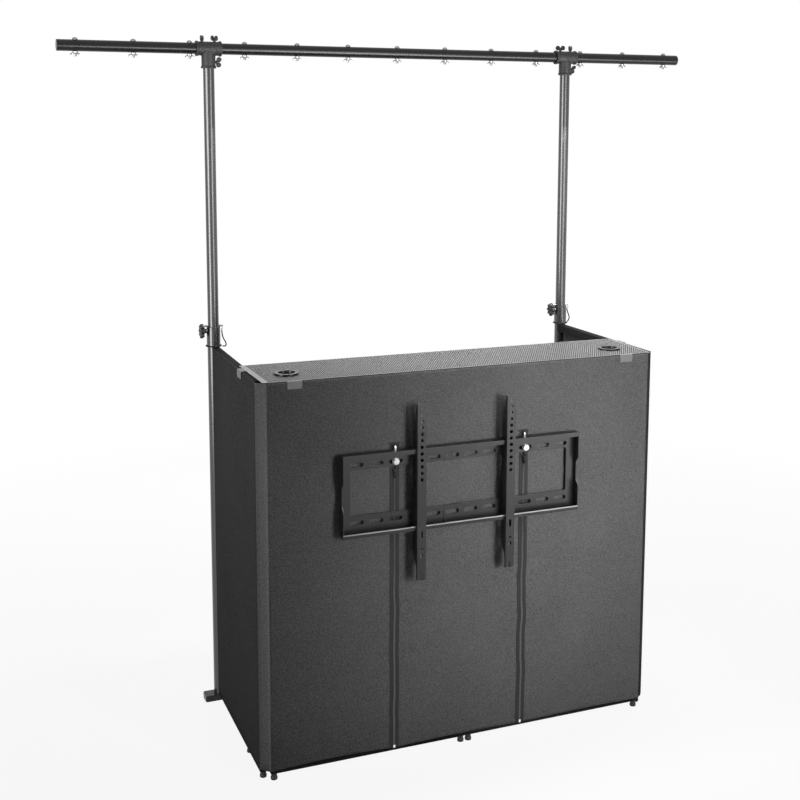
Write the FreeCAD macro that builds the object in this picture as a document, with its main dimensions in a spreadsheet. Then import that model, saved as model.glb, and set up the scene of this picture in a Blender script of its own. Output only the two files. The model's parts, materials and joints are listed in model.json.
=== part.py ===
"""A folding DJ table: tube frame with stretched cloth, top shelf, screen bracket and raised light bar."""
import FreeCAD, Part
import math
import os
import re
import Sketcher

doc = FreeCAD.newDocument("dj_table")
sheet = doc.addObject("Spreadsheet::Sheet", "dims")
Vector = FreeCAD.Vector

# Driving sizes in millimetres: name, value, meaning.
SIZES = [
    ("width", 1200, "booth over the cloth, side to side"),
    ("post_back", 560, "front cloth to the rear post axis"),
    ("height", 1100, "floor to the top of the shelf"),
    ("hem", 28, "floor to the lower edge of the cloth"),
    ("cloth", 1, "cloth thickness"),
    ("seat", 0.3, "gap between pieces that rest on or slide in each other"),
    ("sheet", 2, "thickness of the bent steel sheet"),
    ("tube", 22, "square frame tube"),
    ("tube_wall", 1.5, "wall of every frame tube and pole"),
    ("fold_gap", 1, "each front panel to the middle plane"),
    ("foot_h", 20, "floor to the frame tubes"),
    ("foot_r", 9.5, "round glide radius"),
    ("plug_len", 12, "glide plug inside a tube"),
    ("side_foot_back", 185, "front cloth to the glide under each side rail"),
    ("post_inset", 20, "outer cloth face to the rear post axis"),
    ("wing_lean", 12, "rear end of each side wing, turned inwards"),
    ("slide_gap", 0.5, "pole to the inside of its post"),
    ("pad_h", 19, "rear foot height"),
    ("pad_floor", 6, "rear foot thickness under the post"),
    ("pad_wall", 3, "rear foot around the post"),
    ("pad_reach", 28, "rear foot past the cloth, outwards"),
    ("pad_round", 6, "rear foot corner radius"),
    ("leaf_t", 2, "hinge leaf thickness"),
    ("leaf_h", 60, "hinge leaf height"),
    ("leaf_len", 14, "hinge axis to the leaf's far edge"),
    ("knuckle_r", 4.5, "hinge knuckle radius"),
    ("hinge_pin_r", 2, "hinge pin radius"),
    ("hinge_low", 280, "height of the lower hinges"),
    ("hinge_drop", 280, "shelf top to the upper hinges"),
    ("work_drop", 170, "shelf top to the work board"),
    ("board_t", 15, "work board thickness"),
    ("board_gap", 5, "work board to the side frames"),
    ("board_front", 50, "front cloth to the work board"),
    ("ledge_leg", 28, "width of the board ledges"),
    ("ledge_drop", 18, "ledge leg against the side rail"),
    ("shelf_front", 2, "front cloth to the shelf edge"),
    ("shelf_depth", 246, "front cloth to the shelf's rear edge"),
    ("shelf_rest", 8, "shelf overlap on each side rail"),
    ("shelf_lip", 15, "turned-down rear edge of the shelf"),
    ("hook_inset", 100, "outer cloth face to the front hooks"),
    ("hook_back", 190, "front cloth to the side hooks"),
    ("hook_w", 40, "hook width"),
    ("hook_drop", 22, "hook length below the shelf top"),
    ("hook_gap", 0.6, "hook to the cloth"),
    ("grommet_inset", 105, "outer cloth face to the cable grommets"),
    ("grommet_back", 90, "front cloth to the cable grommets"),
    ("grommet_bore", 46, "cable opening diameter"),
    ("grommet_wall", 5, "grommet barrel wall"),
    ("grommet_rim", 5, "grommet rim past the barrel"),
    ("grommet_rim_t", 3, "grommet rim thickness"),
    ("grommet_len", 14, "grommet barrel under the rim"),
    ("mount_x", -25, "screen bracket centre from the middle plane"),
    ("plate_gap", 9, "front cloth to the back of the wall plate"),
    ("plate_w", 710, "wall plate width"),
    ("plate_h", 228, "wall plate height"),
    ("plate_drop", 208, "shelf top to the wall plate"),
    ("rail_depth", 28, "wall plate flanges, front to back"),
    ("rail_lip", 12, "turned-in lips of the wall plate rails"),
    ("side_strip", 28, "wall plate between its ends and the window"),
    ("window_round", 8, "window corner radius"),
    ("top_strip", 47, "wall plate above the window"),
    ("low_strip", 54, "wall plate below the window"),
    ("notch_h", 80, "gap in the front edge of the end flanges"),
    ("notch_run", 14, "slanted part of that gap"),
    ("slot_pitch", 56, "wall plate slot spacing"),
    ("slot_count", 12, "slots in each row"),
    ("slot_len", 40, "slot length"),
    ("slot_play", 4, "slot width past the bolt"),
    ("slot_drop", 34, "wall plate edge to the slot line"),
    ("bolt_slots", 3.5, "plate centre to the bolts, in slot spacings"),
    ("arm_reach", 38, "back of the wall plate to the arm face"),
    ("arm_len", 495, "screen arm length"),
    ("arm_rise", 128, "screen arms above the wall plate"),
    ("arm_w", 26, "screen arm width"),
    ("arm_x", 134, "plate centre to each arm"),
    ("arm_clear", 4, "arm flange to the back of the wall plate"),
    ("arm_neck", 9, "arm depth beside a rail"),
    ("arm_tip", 8, "arm depth at its ends"),
    ("arm_bump", 70, "foot of the arm to the deep part of its flange"),
    ("vesa_span", 200, "first to last screen hole"),
    ("vesa_count", 12, "screen holes in each arm"),
    ("vesa_hole", 10, "screen hole diameter"),
    ("vesa_first", 12, "arm top to its first hole"),
    ("bolt_d", 8, "bolt diameter"),
    ("bolt_head_r", 9, "bolt head radius"),
    ("bolt_head_t", 6, "bolt head height"),
    ("washer_w", 6, "washer ring width"),
    ("washer_t", 1.5, "washer thickness"),
    ("spacer_wall", 3.5, "spacer sleeve wall"),
    ("nut_t", 6.5, "nut height"),
    ("bolt_tail", 4, "bolt past its nut"),
    ("zip_slit", 6, "opening along each zip"),
    ("zip_tape", 11, "zip tape width at each side of the slit"),
    ("tape_t", 0.8, "zip tape thickness"),
    ("coil_w", 5, "zip coil width"),
    ("coil_t", 1.2, "zip coil height"),
    ("zip_rise", 16, "zips above the wall plate"),
    ("zip_ease", 5, "zip spread past the spacer"),
    ("zip_open_h", 44, "height of that spread"),
    ("slider_w", 12, "zip slider width"),
    ("slider_h", 14, "zip slider height"),
    ("slider_t", 5, "zip slider thickness"),
    ("pull_w", 7, "zip pull width"),
    ("pull_t", 1.4, "zip pull thickness"),
    ("pull_len", 12, "zip pull below its slider"),
    ("slider_rest", 12, "upper end of a zip to its upper slider"),
    ("slider_drop", 30, "bracket bolt to the lower slider"),
    ("stop_h", 8, "zip end stop height"),
    ("collar_h", 60, "clamp collar height"),
    ("collar_wall", 1.6, "collar wall over the post"),
    ("collar_skirt", 14, "collar overlap over the post"),
    ("collar_lift", 0.8, "collar above the side rail"),
    ("knob_drop", 11.5, "collar top to the knob axis"),
    ("boss_wall", 3, "threaded boss wall"),
    ("boss_len", 5, "threaded boss length"),
    ("knob_r", 16.5, "knob body radius"),
    ("knob_t", 11, "knob thickness"),
    ("knob_hub_r", 8, "knob hub radius"),
    ("knob_hub_t", 4, "knob hub length"),
    ("lobe_r", 5, "knob lobe radius"),
    ("pole_od", 32, "pole diameter"),
    ("pole_in", 300, "pole below the collar top"),
    ("pin_d", 6, "lock pin diameter"),
    ("pin_out", 11, "lock pin past the pole, away from its ring"),
    ("pin_ring", 12, "lock pin past the pole, towards its ring"),
    ("ring_r", 6.5, "pull ring radius"),
    ("ring_wire", 0.8, "pull ring wire radius"),
    ("cord_d", 3.6, "lanyard diameter"),
    ("bar_z", 1968, "floor to the crossbar axis"),
    ("bar_over", 420, "crossbar past each pole axis"),
    ("bar_od", 32, "crossbar diameter"),
    ("bar_seam", 33, "middle plane to the joint in the crossbar"),
    ("spigot_len", 160, "sleeve inside the crossbar joint"),
    ("cap_t", 3, "end cap thickness"),
    ("cap_plug", 14, "end cap plug length"),
    ("light_in", 106, "pole axis to the next light bolt inwards"),
    ("light_out", 54, "pole axis to the next light bolt outwards"),
    ("light_pitch", 158, "light bolt spacing outside the poles"),
    ("light_each", 3, "light bolts at each side of a pole"),
    ("light_head_r", 8, "light bolt head radius"),
    ("light_head_t", 6, "light bolt head height"),
    ("light_tail", 14, "light bolt below the crossbar"),
    ("nut_base", 3, "wing nut hub wall at the bar"),
    ("nut_wall", 1, "wing nut hub wall at its tip"),
    ("nut_h", 8, "wing nut hub height"),
    ("wing_span", 14, "wing nut axis to the wing tip"),
    ("wing_h", 9, "wing height"),
    ("wing_t", 2.4, "wing thickness"),
    ("wing_drop", 3, "bar to the top of a wing"),
    ("tee_wall", 4, "tee fitting around the pole or the bar"),
    ("tee_len", 74, "tee fitting length along the bar"),
    ("tee_drop", 56, "crossbar axis to the tee's lower end"),
    ("tee_rim", 2, "tee end rims past the barrel"),
    ("tee_rim_w", 6, "tee end rim width"),
    ("tee_web", 5, "metal between bar and pole inside the tee"),
    ("tee_screw_x", 18, "tee axis to its top screws"),
    ("tee_screw_up", 18, "tee lower end to its side screw"),
    ("ear_r", 7.5, "wing screw ear radius"),
    ("ear_t", 3, "wing screw ear thickness"),
    ("ear_x", 8, "wing screw axis to an ear's centre"),
    ("ear_z", 10, "fitting to an ear's centre"),
    ("stem_hub_r", 5.5, "wing screw hub radius"),
    ("stem_hub_t", 8, "wing screw hub height"),
]
DRIVING = {name for name, value, meaning in SIZES}

# Sizes worked out from the driving ones. Heights are from the floor, and face is the front of the cloth.
WORKED_OUT = {
    "half": "width / 2",
    "pole_r": "pole_od / 2",
    "bar_r": "bar_od / 2",
    "bolt_r": "bolt_d / 2",
    "post_r": "pole_r + slide_gap + tube_wall",
    "tee_r": "max(pole_r; bar_r) + tee_wall",
    "pad_half": "post_r + seat + pad_wall",
    "corner": "tube + 3 * cloth",
    "rim_r": "tee_r + tee_rim",
    "loop_out": "loop_r + cord_d / 2",
    "rear_half": "max(rim_r; loop_out; pad_half)",
    "face": "(plate_gap + arm_reach - post_back - rear_half) / 2",
    "skin": "cloth + seat",
    "frame_front": "face + skin",
    "frame_back": "frame_front + tube",
    "frame_top": "height - sheet - seat",
    "panel_out": "half - corner",
    "wing_out": "half - skin",
    "wing_in": "wing_out - tube",
    "wing_front": "face + corner",
    "wing_back": "post_y - post_r / 3",
    "hinge_x": "wing_in - knuckle_r - seat",
    "hinge_y": "frame_back + knuckle_r + seat",
    "lean": "atan(wing_lean / (post_y - hinge_y))",
    "post_x": "half - post_inset",
    "post_y": "face + post_back",
    "work_h": "height - work_drop",
    "ledge_z": "work_h - board_t - seat - sheet",
    "shelf_half": "wing_in + shelf_rest",
    "bolt_x": "bolt_slots * slot_pitch",
    "slot_row": "(slot_count - 1) * slot_pitch",
    "plate_top": "height - plate_drop",
    "arm_low": "plate_top + arm_rise - arm_len",
    "slot_w": "bolt_d + slot_play",
    "bolt_z": "plate_top - slot_drop",
    "bolt_bore": "bolt_r + seat",
    "washer_r": "bolt_r + washer_w",
    "spacer_r": "bolt_r + spacer_wall",
    "zip_top": "plate_top + zip_rise",
    "zip_open_w": "2 * spacer_r + zip_ease",
    "slider_up": "zip_top - slider_rest",
    "slider_low": "bolt_z - slider_drop",
    "hinge_high": "height - hinge_drop",
    "hook_x": "half - hook_inset",
    "grommet_x": "half - grommet_inset",
    "boss_r": "bolt_r + boss_wall",
    "nut_r": "bolt_r + nut_base",
    "nut_tip_r": "bolt_r + nut_wall",
    "plate_back": "face - plate_gap",
    "plate_face": "plate_back - sheet",
    "tape_face": "face - tape_t",
    "coil_face": "tape_face - coil_t",
    "slider_back": "tape_face - seat",
    "collar_low": "frame_top + collar_lift",
    "collar_top": "collar_low + collar_h",
    "collar_r": "post_r + seat + collar_wall",
    "post_top": "collar_low + collar_skirt",
    "knob_z": "collar_top - knob_drop",
    "pin_z": "collar_top + pin_d / 2 + seat",
    "loop_r": "collar_r + seat + cord_d / 2",
    "ring_x": "pole_r + pin_ring - pin_d / 2",
    "half_bar": "post_x + bar_over",
    "light_step": "(post_x - light_in) / light_each",
    "tee_low": "bar_z - tee_drop",
    "pole_top": "bar_z - bar_r - seat - tee_web",
}
SIDES = (("left", -1), ("right", 1))


def fill_sheet():
    """Writes the driving sizes into the sheet, one row each."""
    for row, (name, value, meaning) in enumerate(SIZES, start=1):
        sheet.set(f"A{row}", meaning)
        sheet.set(f"B{row}", str(value))
        sheet.setAlias(f"B{row}", name)
    doc.recompute()


def bound(text):
    """The text as a FreeCAD expression, with every named size traced back to the sheet."""
    def replace(match):
        word = match.group(0)
        if word in WORKED_OUT:
            return "(" + bound(WORKED_OUT[word]) + ")"
        return "dims." + word if word in DRIVING else word
    return re.sub(r"[A-Za-z_]\w*", replace, str(text))


def size(text):
    """The value of a size in millimetres."""
    return float(sheet.evalExpression(bound(text)))


def place(item, x=0, y=0, z=0, axis=None, angle=0):
    """Binds the position of an object, and turns it if an axis is given."""
    if axis:
        item.Placement.Rotation = FreeCAD.Rotation(Vector(*axis), angle)
    for letter, value in zip("xyz", (x, y, z)):
        item.setExpression(f"Placement.Base.{letter}", bound(value))
    return item


def solid(kind, name, **sizes):
    """A Part primitive with its sizes bound to the sheet."""
    item = doc.addObject(kind, name)
    for field, value in sizes.items():
        item.setExpression(field, bound(value))
    return item


def box(name, x, y, z):
    """A box given by its low and high ends along each axis."""
    lengths = [f"({high}) - ({low})" for low, high in (x, y, z)]
    item = solid("Part::Box", name, Length=lengths[0], Width=lengths[1], Height=lengths[2])
    return place(item, x[0], y[0], z[0])


TURNS = {"x": ((0, 1, 0), 90), "y": ((1, 0, 0), -90), "z": (None, 0)}


def rod(name, radius, along, ends, first=0, second=0):
    """A cylinder along an axis, at the two other coordinates in X, Y, Z order."""
    item = solid("Part::Cylinder", name, Radius=radius, Height=f"({ends[1]}) - ({ends[0]})")
    spot = {"x": (ends[0], first, second), "y": (first, ends[0], second), "z": (first, second, ends[0])}
    return place(item, *spot[along], *TURNS[along])


def fuse(name, *pieces):
    """One solid from overlapping pieces."""
    item = doc.addObject("Part::MultiFuse", name)
    item.Shapes = list(pieces)
    item.Refine = True
    return item


def group(name, *pieces):
    """Several separate solids under one name."""
    item = doc.addObject("Part::Compound", name)
    item.Links = list(pieces)
    return item


def cut(name, base, *tools):
    """The base with every tool taken away."""
    item = doc.addObject("Part::Cut", name)
    item.Base = base
    item.Tool = tools[0] if len(tools) == 1 else group(name + "_tools", *tools)
    return item


def span(sign, near, far):
    """A range on the right side, or its mirror image on the left."""
    return (near, far) if sign > 0 else (f"-({far})", f"-({near})")


def leaned(x, y):
    """Where a point of the right wing lands when the wing turns inwards about its corner hinge."""
    across, back = f"({x} - hinge_x)", f"({y} - hinge_y)"
    return (f"hinge_x + {across} * cos(lean) - {back} * sin(lean)",
            f"hinge_y + {across} * sin(lean) + {back} * cos(lean)")


def lean(item, sign):
    """Turns a piece of a side wing inwards about its corner hinge."""
    x, y = leaned(0, 0)
    place(item, f"{sign} * ({x})", y, 0, (0, 0, sign), 1)
    item.setExpression("Placement.Rotation.Angle", bound("lean"))
    return item


def square_tube(name, along, x, y, z):
    """A hollow square tube with open ends."""
    ranges = {"x": x, "y": y, "z": z}
    inner = []
    for axis, (low, high) in ranges.items():
        inset = "-tube_wall" if axis == along else "tube_wall"
        inner.append((f"({low}) + {inset}", f"({high}) - {inset}"))
    return cut(name, box(name + "_outer", x, y, z), box(name + "_inner", *inner))


def round_tube(name, radius, along, ends, first=0, second=0):
    """A hollow round tube with open ends."""
    outer = rod(name + "_outer", radius, along, ends, first, second)
    past = (f"({ends[0]}) - tube_wall", f"({ends[1]}) + tube_wall")
    return cut(name, outer, rod(name + "_inner", f"{radius} - tube_wall", along, past, first, second))


def new_body(name):
    """A PartDesign body."""
    return doc.addObject("PartDesign::Body", name)


def origin_part(body, role):
    """The named plane or axis of the body's own origin."""
    return next(item for item in body.Origin.OriginFeatures if item.Role == role)


def new_sketch(body, name, plane, offset=0):
    """A sketch on one of the body's planes, moved along its normal by a bound offset."""
    item = body.newObject("Sketcher::SketchObject", name)
    item.AttachmentSupport = (origin_part(body, plane), [""])
    item.MapMode = "FlatFace"
    item.setExpression("AttachmentOffset.Base.z", bound(offset))
    return item


def fix_point(item, geometry, point, x, y):
    """Ties a sketch point to bound coordinates."""
    for kind, value in (("DistanceX", x), ("DistanceY", y)):
        row = item.addConstraint(Sketcher.Constraint(kind, -1, 1, geometry, point, size(value)))
        item.setExpression(f"Constraints[{row}]", bound(value))


def outline(item, points):
    """A closed polygon through bound points."""
    first = item.GeometryCount
    count = len(points)
    places = [Vector(size(x), size(y), 0) for x, y in points]
    for i in range(count):
        item.addGeometry(Part.LineSegment(places[i], places[(i + 1) % count]), False)
    for i in range(count):
        item.addConstraint(Sketcher.Constraint("Coincident", first + i, 2, first + (i + 1) % count, 1))
    for i, (x, y) in enumerate(points):
        fix_point(item, first + i, 1, x, y)


def rectangle(item, x, y):
    """A rectangle given by its bound ends."""
    outline(item, [(x[0], y[0]), (x[1], y[0]), (x[1], y[1]), (x[0], y[1])])


def circle(item, x, y, radius):
    """A circle with its centre and radius bound."""
    ring = Part.Circle(Vector(size(x), size(y), 0), Vector(0, 0, 1), size(radius))
    geometry = item.addGeometry(ring, False)
    row = item.addConstraint(Sketcher.Constraint("Radius", geometry, size(radius)))
    item.setExpression(f"Constraints[{row}]", bound(radius))
    fix_point(item, geometry, 3, x, y)


def slot(item, x, y, length, width):
    """A slot along X with round ends, its centre and sizes bound."""
    first = item.GeometryCount
    radius = f"({width}) / 2"
    reach = f"({length} - ({width})) / 2"
    ends = (f"{x} + {reach}", f"{x} - ({reach})")
    up = Vector(0, 0, 1)
    turns = ((-math.pi / 2, math.pi / 2), (math.pi / 2, 3 * math.pi / 2))
    for end, (start, stop) in zip(ends, turns):
        ring = Part.Circle(Vector(size(end), size(y), 0), up, size(radius))
        item.addGeometry(Part.ArcOfCircle(ring, start, stop), False)
    high = size(f"{y} + {radius}")
    low = size(f"{y} - {radius}")
    right, left = size(ends[0]), size(ends[1])
    item.addGeometry(Part.LineSegment(Vector(right, high, 0), Vector(left, high, 0)), False)
    item.addGeometry(Part.LineSegment(Vector(left, low, 0), Vector(right, low, 0)), False)
    for before, after in ((0, 2), (2, 1), (1, 3), (3, 0)):
        item.addConstraint(Sketcher.Constraint("Tangent", first + before, 2, first + after, 1))
    item.addConstraint(Sketcher.Constraint("Equal", first, first + 1))
    row = item.addConstraint(Sketcher.Constraint("Radius", first, size(radius)))
    item.setExpression(f"Constraints[{row}]", bound(radius))
    for i, end in enumerate(ends):
        fix_point(item, first + i, 3, end, y)


def feature(body, kind, name, profile, length, backwards=False, middle=False):
    """A pad or pocket of a sketch."""
    item = body.newObject("PartDesign::" + kind, name)
    item.Profile = profile
    item.setExpression("Length", bound(length))
    item.Reversed = backwards
    item.Midplane = middle
    return item


def pattern(body, name, original, axis, length, count):
    """Repeats a feature along one of the body's axes."""
    item = body.newObject("PartDesign::LinearPattern", name)
    item.Originals = [original]
    item.Direction = (origin_part(body, axis), [""])
    item.setExpression("Length", bound(length))
    item.setExpression("Occurrences", bound(count))
    body.Tip = item
    return item


def revolved(body, name, points):
    """A full turn of an outline about the body's Z axis, in radius and height."""
    profile = new_sketch(body, name + "_profile", "XZ_Plane")
    outline(profile, points)
    item = body.newObject("PartDesign::Revolution", name + "_turn")
    item.Profile = profile
    item.ReferenceAxis = (profile, ["V_Axis"])
    item.Angle = 360
    return item


nodes = []


def node(item, name):
    """Marks an object as a finished sub-part."""
    item.Label = name
    nodes.append(item)
    return item


def front_frames():
    """Two welded rectangles behind the front cloth, and the uprights that carry the bracket."""
    depth = ("frame_front", "frame_back")
    tall = ("foot_h", "frame_top")
    low = ("foot_h", "foot_h + tube")
    high = ("frame_top - tube", "frame_top")
    for side, sign in SIDES:
        outer = span(sign, "panel_out - tube", "panel_out")
        inner = span(sign, "fold_gap", "fold_gap + tube")
        between = span(sign, "fold_gap + tube", "panel_out - tube")
        name = f"front_{side}"
        node(group(
            name,
            square_tube(name + "_outer_post", "z", outer, depth, tall),
            square_tube(name + "_inner_post", "z", inner, depth, tall),
            square_tube(name + "_low_rail", "x", between, depth, low),
            square_tube(name + "_top_rail", "x", between, depth, high),
        ), f"front_{side}_frame")
    uprights = []
    for side, sign in SIDES:
        middle = f"mount_x + {sign} * bolt_x"
        across = (f"{middle} - tube / 2", f"{middle} + tube / 2")
        bar = square_tube(f"upright_{side}", "z", across, depth, (low[1], high[0]))
        through = ("frame_front - tube", "frame_back + tube")
        bore = rod(f"upright_{side}_bore", "bolt_bore", "y", through, middle, "bolt_z")
        uprights.append(cut(f"upright_{side}_drilled", bar, bore))
    node(group("uprights", *uprights), "bracket_uprights")


def side_frames():
    """A post, three rails and a ledge on each side, coped to the round rear post."""
    heights = {
        "low": ("foot_h", "foot_h + tube"),
        "mid": ("ledge_z - tube", "ledge_z"),
        "top": ("frame_top - tube", "frame_top"),
    }
    ledges = []
    for side, sign in SIDES:
        across = span(sign, "wing_in", "wing_out")
        post = square_tube(f"side_{side}_post", "z", across, ("wing_front", "wing_front + tube"),
                           ("foot_h", "frame_top"))
        lean(post, sign)
        rails = []
        for level, tall in heights.items():
            name = f"side_{side}_{level}_rail"
            rail = square_tube(name, "y", across, ("wing_front + tube", "wing_back"), tall)
            cope = rod(name + "_cope", "post_r + seat", "z", (f"{tall[0]} - tube", f"{tall[1]} + tube"),
                       f"{sign} * post_x", "post_y")
            rails.append(cut(name + "_coped", lean(rail, sign), cope))
        node(group(f"side_{side}", post, *rails), f"{side}_side_frame")
        along = ("wing_front + 2 * tube", "wing_back - 2 * tube")
        upright = box(f"ledge_{side}_leg", span(sign, "wing_in - sheet", "wing_in"), along,
                      ("ledge_z - ledge_drop", "ledge_z + sheet"))
        flat = box(f"ledge_{side}_flat", span(sign, "wing_in - ledge_leg", "wing_in - sheet / 2"), along,
                   ("ledge_z", "ledge_z + sheet"))
        ledges.append(lean(fuse(f"ledge_{side}", upright, flat), sign))
        tube = round_tube(f"rear_post_{side}", "post_r", "z", ("pad_floor + seat", "post_top"),
                          f"{sign} * post_x", "post_y")
        node(tube, f"{side}_rear_post")
    node(group("ledges", *ledges), "board_ledges")


def hinge(name, sign=0):
    """Two leaves and a pin about the Z axis, one leaf towards -X and the other towards +Y at a corner.

    With no side given, the second leaf lies towards +X.
    """
    third = "leaf_h / 6"
    lies = ("-knuckle_r - seat", "-knuckle_r - seat + leaf_t")
    stands = ("knuckle_r + seat - leaf_t", "knuckle_r + seat")
    tall = ("-leaf_h / 2", "leaf_h / 2")
    bore = ("-leaf_h", "leaf_h")
    shy = "knuckle_r + seat"
    bands = {
        "a": ((f"-{third}", third),),
        "b": (("-leaf_h / 2", f"-{third} - seat"), (f"{third} + seat", "leaf_h / 2")),
    }
    leaves = []
    for leaf, levels in bands.items():
        far, near = ("-leaf_len", f"-({shy})") if leaf == "a" else (shy, "leaf_len")
        upright = sign and leaf == "b"
        reach = (far, near)
        plan = (stands, reach) if upright else (reach, lies)
        pieces = [box(f"{name}_{leaf}_leaf", *plan, tall)]
        for i, level in enumerate(levels):
            link = ("-leaf_len / 2", 0) if leaf == "a" else (0, "leaf_len / 2")
            plan = (stands, link) if upright else (link, lies)
            pieces.append(rod(f"{name}_{leaf}_knuckle{i}", "knuckle_r", "z", level))
            pieces.append(box(f"{name}_{leaf}_link{i}", *plan, level))
        hole = rod(f"{name}_{leaf}_bore", "hinge_pin_r + seat", "z", bore)
        leaves.append(cut(f"{name}_{leaf}", fuse(f"{name}_{leaf}_whole", *pieces), hole))
    if sign:
        turned = leaves[1] if sign > 0 else leaves[0]
        turned.Placement.Rotation = FreeCAD.Rotation(Vector(0, 0, sign), 1)
        turned.setExpression("Placement.Rotation.Angle", bound("lean"))
    return group(name, *leaves, rod(f"{name}_pin", "hinge_pin_r", "z", tall))


def hinges():
    """Pairs of butt hinges behind both front corners and the middle fold."""
    levels = ("hinge_low", "hinge_high")
    for side, sign in SIDES:
        pair = []
        for i, level in enumerate(levels):
            item = hinge(f"hinge_{side}_{i}", sign)
            turn = 0 if sign > 0 else -90
            pair.append(place(item, f"{sign} * hinge_x", "hinge_y", level, (0, 0, 1), turn))
        node(group(f"hinges_{side}", *pair), f"{side}_corner_hinges")
    pair = [place(hinge(f"hinge_middle_{i}"), 0, "hinge_y", level) for i, level in enumerate(levels)]
    node(group("hinges_middle", *pair), "middle_hinges")


def feet():
    """Plugged glides under the square tubes and one long foot under each rear post."""
    glides = []
    spots = []
    for side, sign in SIDES:
        front = "frame_front + tube / 2"
        wing = f"{sign} * (wing_in + tube / 2)"
        spots.append((f"{side}_outer", f"{sign} * (panel_out - tube / 2)", front, 0, True))
        spots.append((f"{side}_inner", f"{sign} * (fold_gap + tube / 2)", front, 0, True))
        spots.append((f"{side}_side", wing, "wing_front + tube / 2", sign, True))
        spots.append((f"{side}_rail", wing, "face + side_foot_back", sign, False))
    for name, x, y, sign, plugged in spots:
        pieces = [
            rod(f"glide_{name}_pad", "foot_r", "z", (0, "foot_h / 2"), x, y),
            box(f"glide_{name}_neck", (f"{x} - foot_r / 2", f"{x} + foot_r / 2"),
                (f"{y} - foot_r / 2", f"{y} + foot_r / 2"), ("foot_h / 4", "foot_h")),
        ]
        if plugged:
            reach = "tube / 2 - tube_wall - seat"
            pieces.append(box(f"glide_{name}_plug", (f"{x} - ({reach})", f"{x} + {reach}"),
                              (f"{y} - ({reach})", f"{y} + {reach}"), ("foot_h / 2", "foot_h + plug_len")))
        glide = fuse(f"glide_{name}", *pieces)
        glides.append(lean(glide, sign) if sign else glide)
    node(group("glides", *glides), "frame_glides")
    pads = []
    for side, sign in SIDES:
        block = box(f"rear_foot_{side}_block", span(sign, "post_x - pad_half", "half + pad_reach"),
                    ("post_y - pad_half", "post_y + pad_half"), (0, "pad_h"))
        doc.recompute()
        rounded = doc.addObject("Part::Fillet", f"rear_foot_{side}_rounded")
        rounded.Base = block
        radius = size("pad_round")
        edges = enumerate(block.Shape.Edges, start=1)
        rounded.Edges = [(i, radius, radius) for i, edge in edges if abs(edge.tangentAt(0).z) > 0.9]
        socket = rod(f"rear_foot_{side}_socket", "post_r + seat", "z", ("pad_floor", "pad_h + pad_floor"),
                     f"{sign} * post_x", "post_y")
        pads.append(cut(f"rear_foot_{side}", rounded, socket))
    node(group("rear_feet", *pads), "rear_feet")


def cloth_panels():
    """The front, both sides and the slanted corner strips, sewn from stretch cloth."""
    tall = ("hem", "frame_top")
    slits = []
    for side, sign in SIDES:
        middle = f"mount_x + {sign} * bolt_x"
        slits.append(box(f"slit_{side}", (f"{middle} - zip_slit / 2", f"{middle} + zip_slit / 2"),
                         ("face - cloth", "face + 2 * cloth"), ("hem - cloth", "zip_top")))
        slits.append(box(f"spread_{side}", (f"{middle} - zip_open_w / 2", f"{middle} + zip_open_w / 2"),
                         ("face - cloth", "face + 2 * cloth"),
                         ("bolt_z - zip_open_h / 2", "bolt_z + zip_open_h / 2")))
    front = box("cloth_front_whole", ("-panel_out", "panel_out"), ("face", "face + cloth"), tall)
    node(cut("cloth_front", front, *slits), "front_cloth")
    strips = []
    for side, sign in SIDES:
        along = ("wing_front", "post_y - post_r")
        panel = box(f"cloth_{side}_panel", span(sign, "half - cloth", "half"), along, tall)
        node(lean(group(f"cloth_{side}", panel), sign), f"{side}_side_cloth")
        body = new_body(f"strip_{side}")
        profile = new_sketch(body, f"strip_{side}_profile", "XY_Plane", "hem")
        outer, inner = leaned("half", "wing_front"), leaned("half - cloth", "wing_front")
        outline(profile, [
            (f"{sign} * panel_out", "face"), (f"{sign} * ({outer[0]})", outer[1]),
            (f"{sign} * ({inner[0]})", inner[1]), (f"{sign} * panel_out", "face + cloth"),
        ])
        feature(body, "Pad", f"strip_{side}_pad", profile, "frame_top - hem")
        strips.append(body)
    node(group("strips", *strips), "corner_strips")


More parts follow.
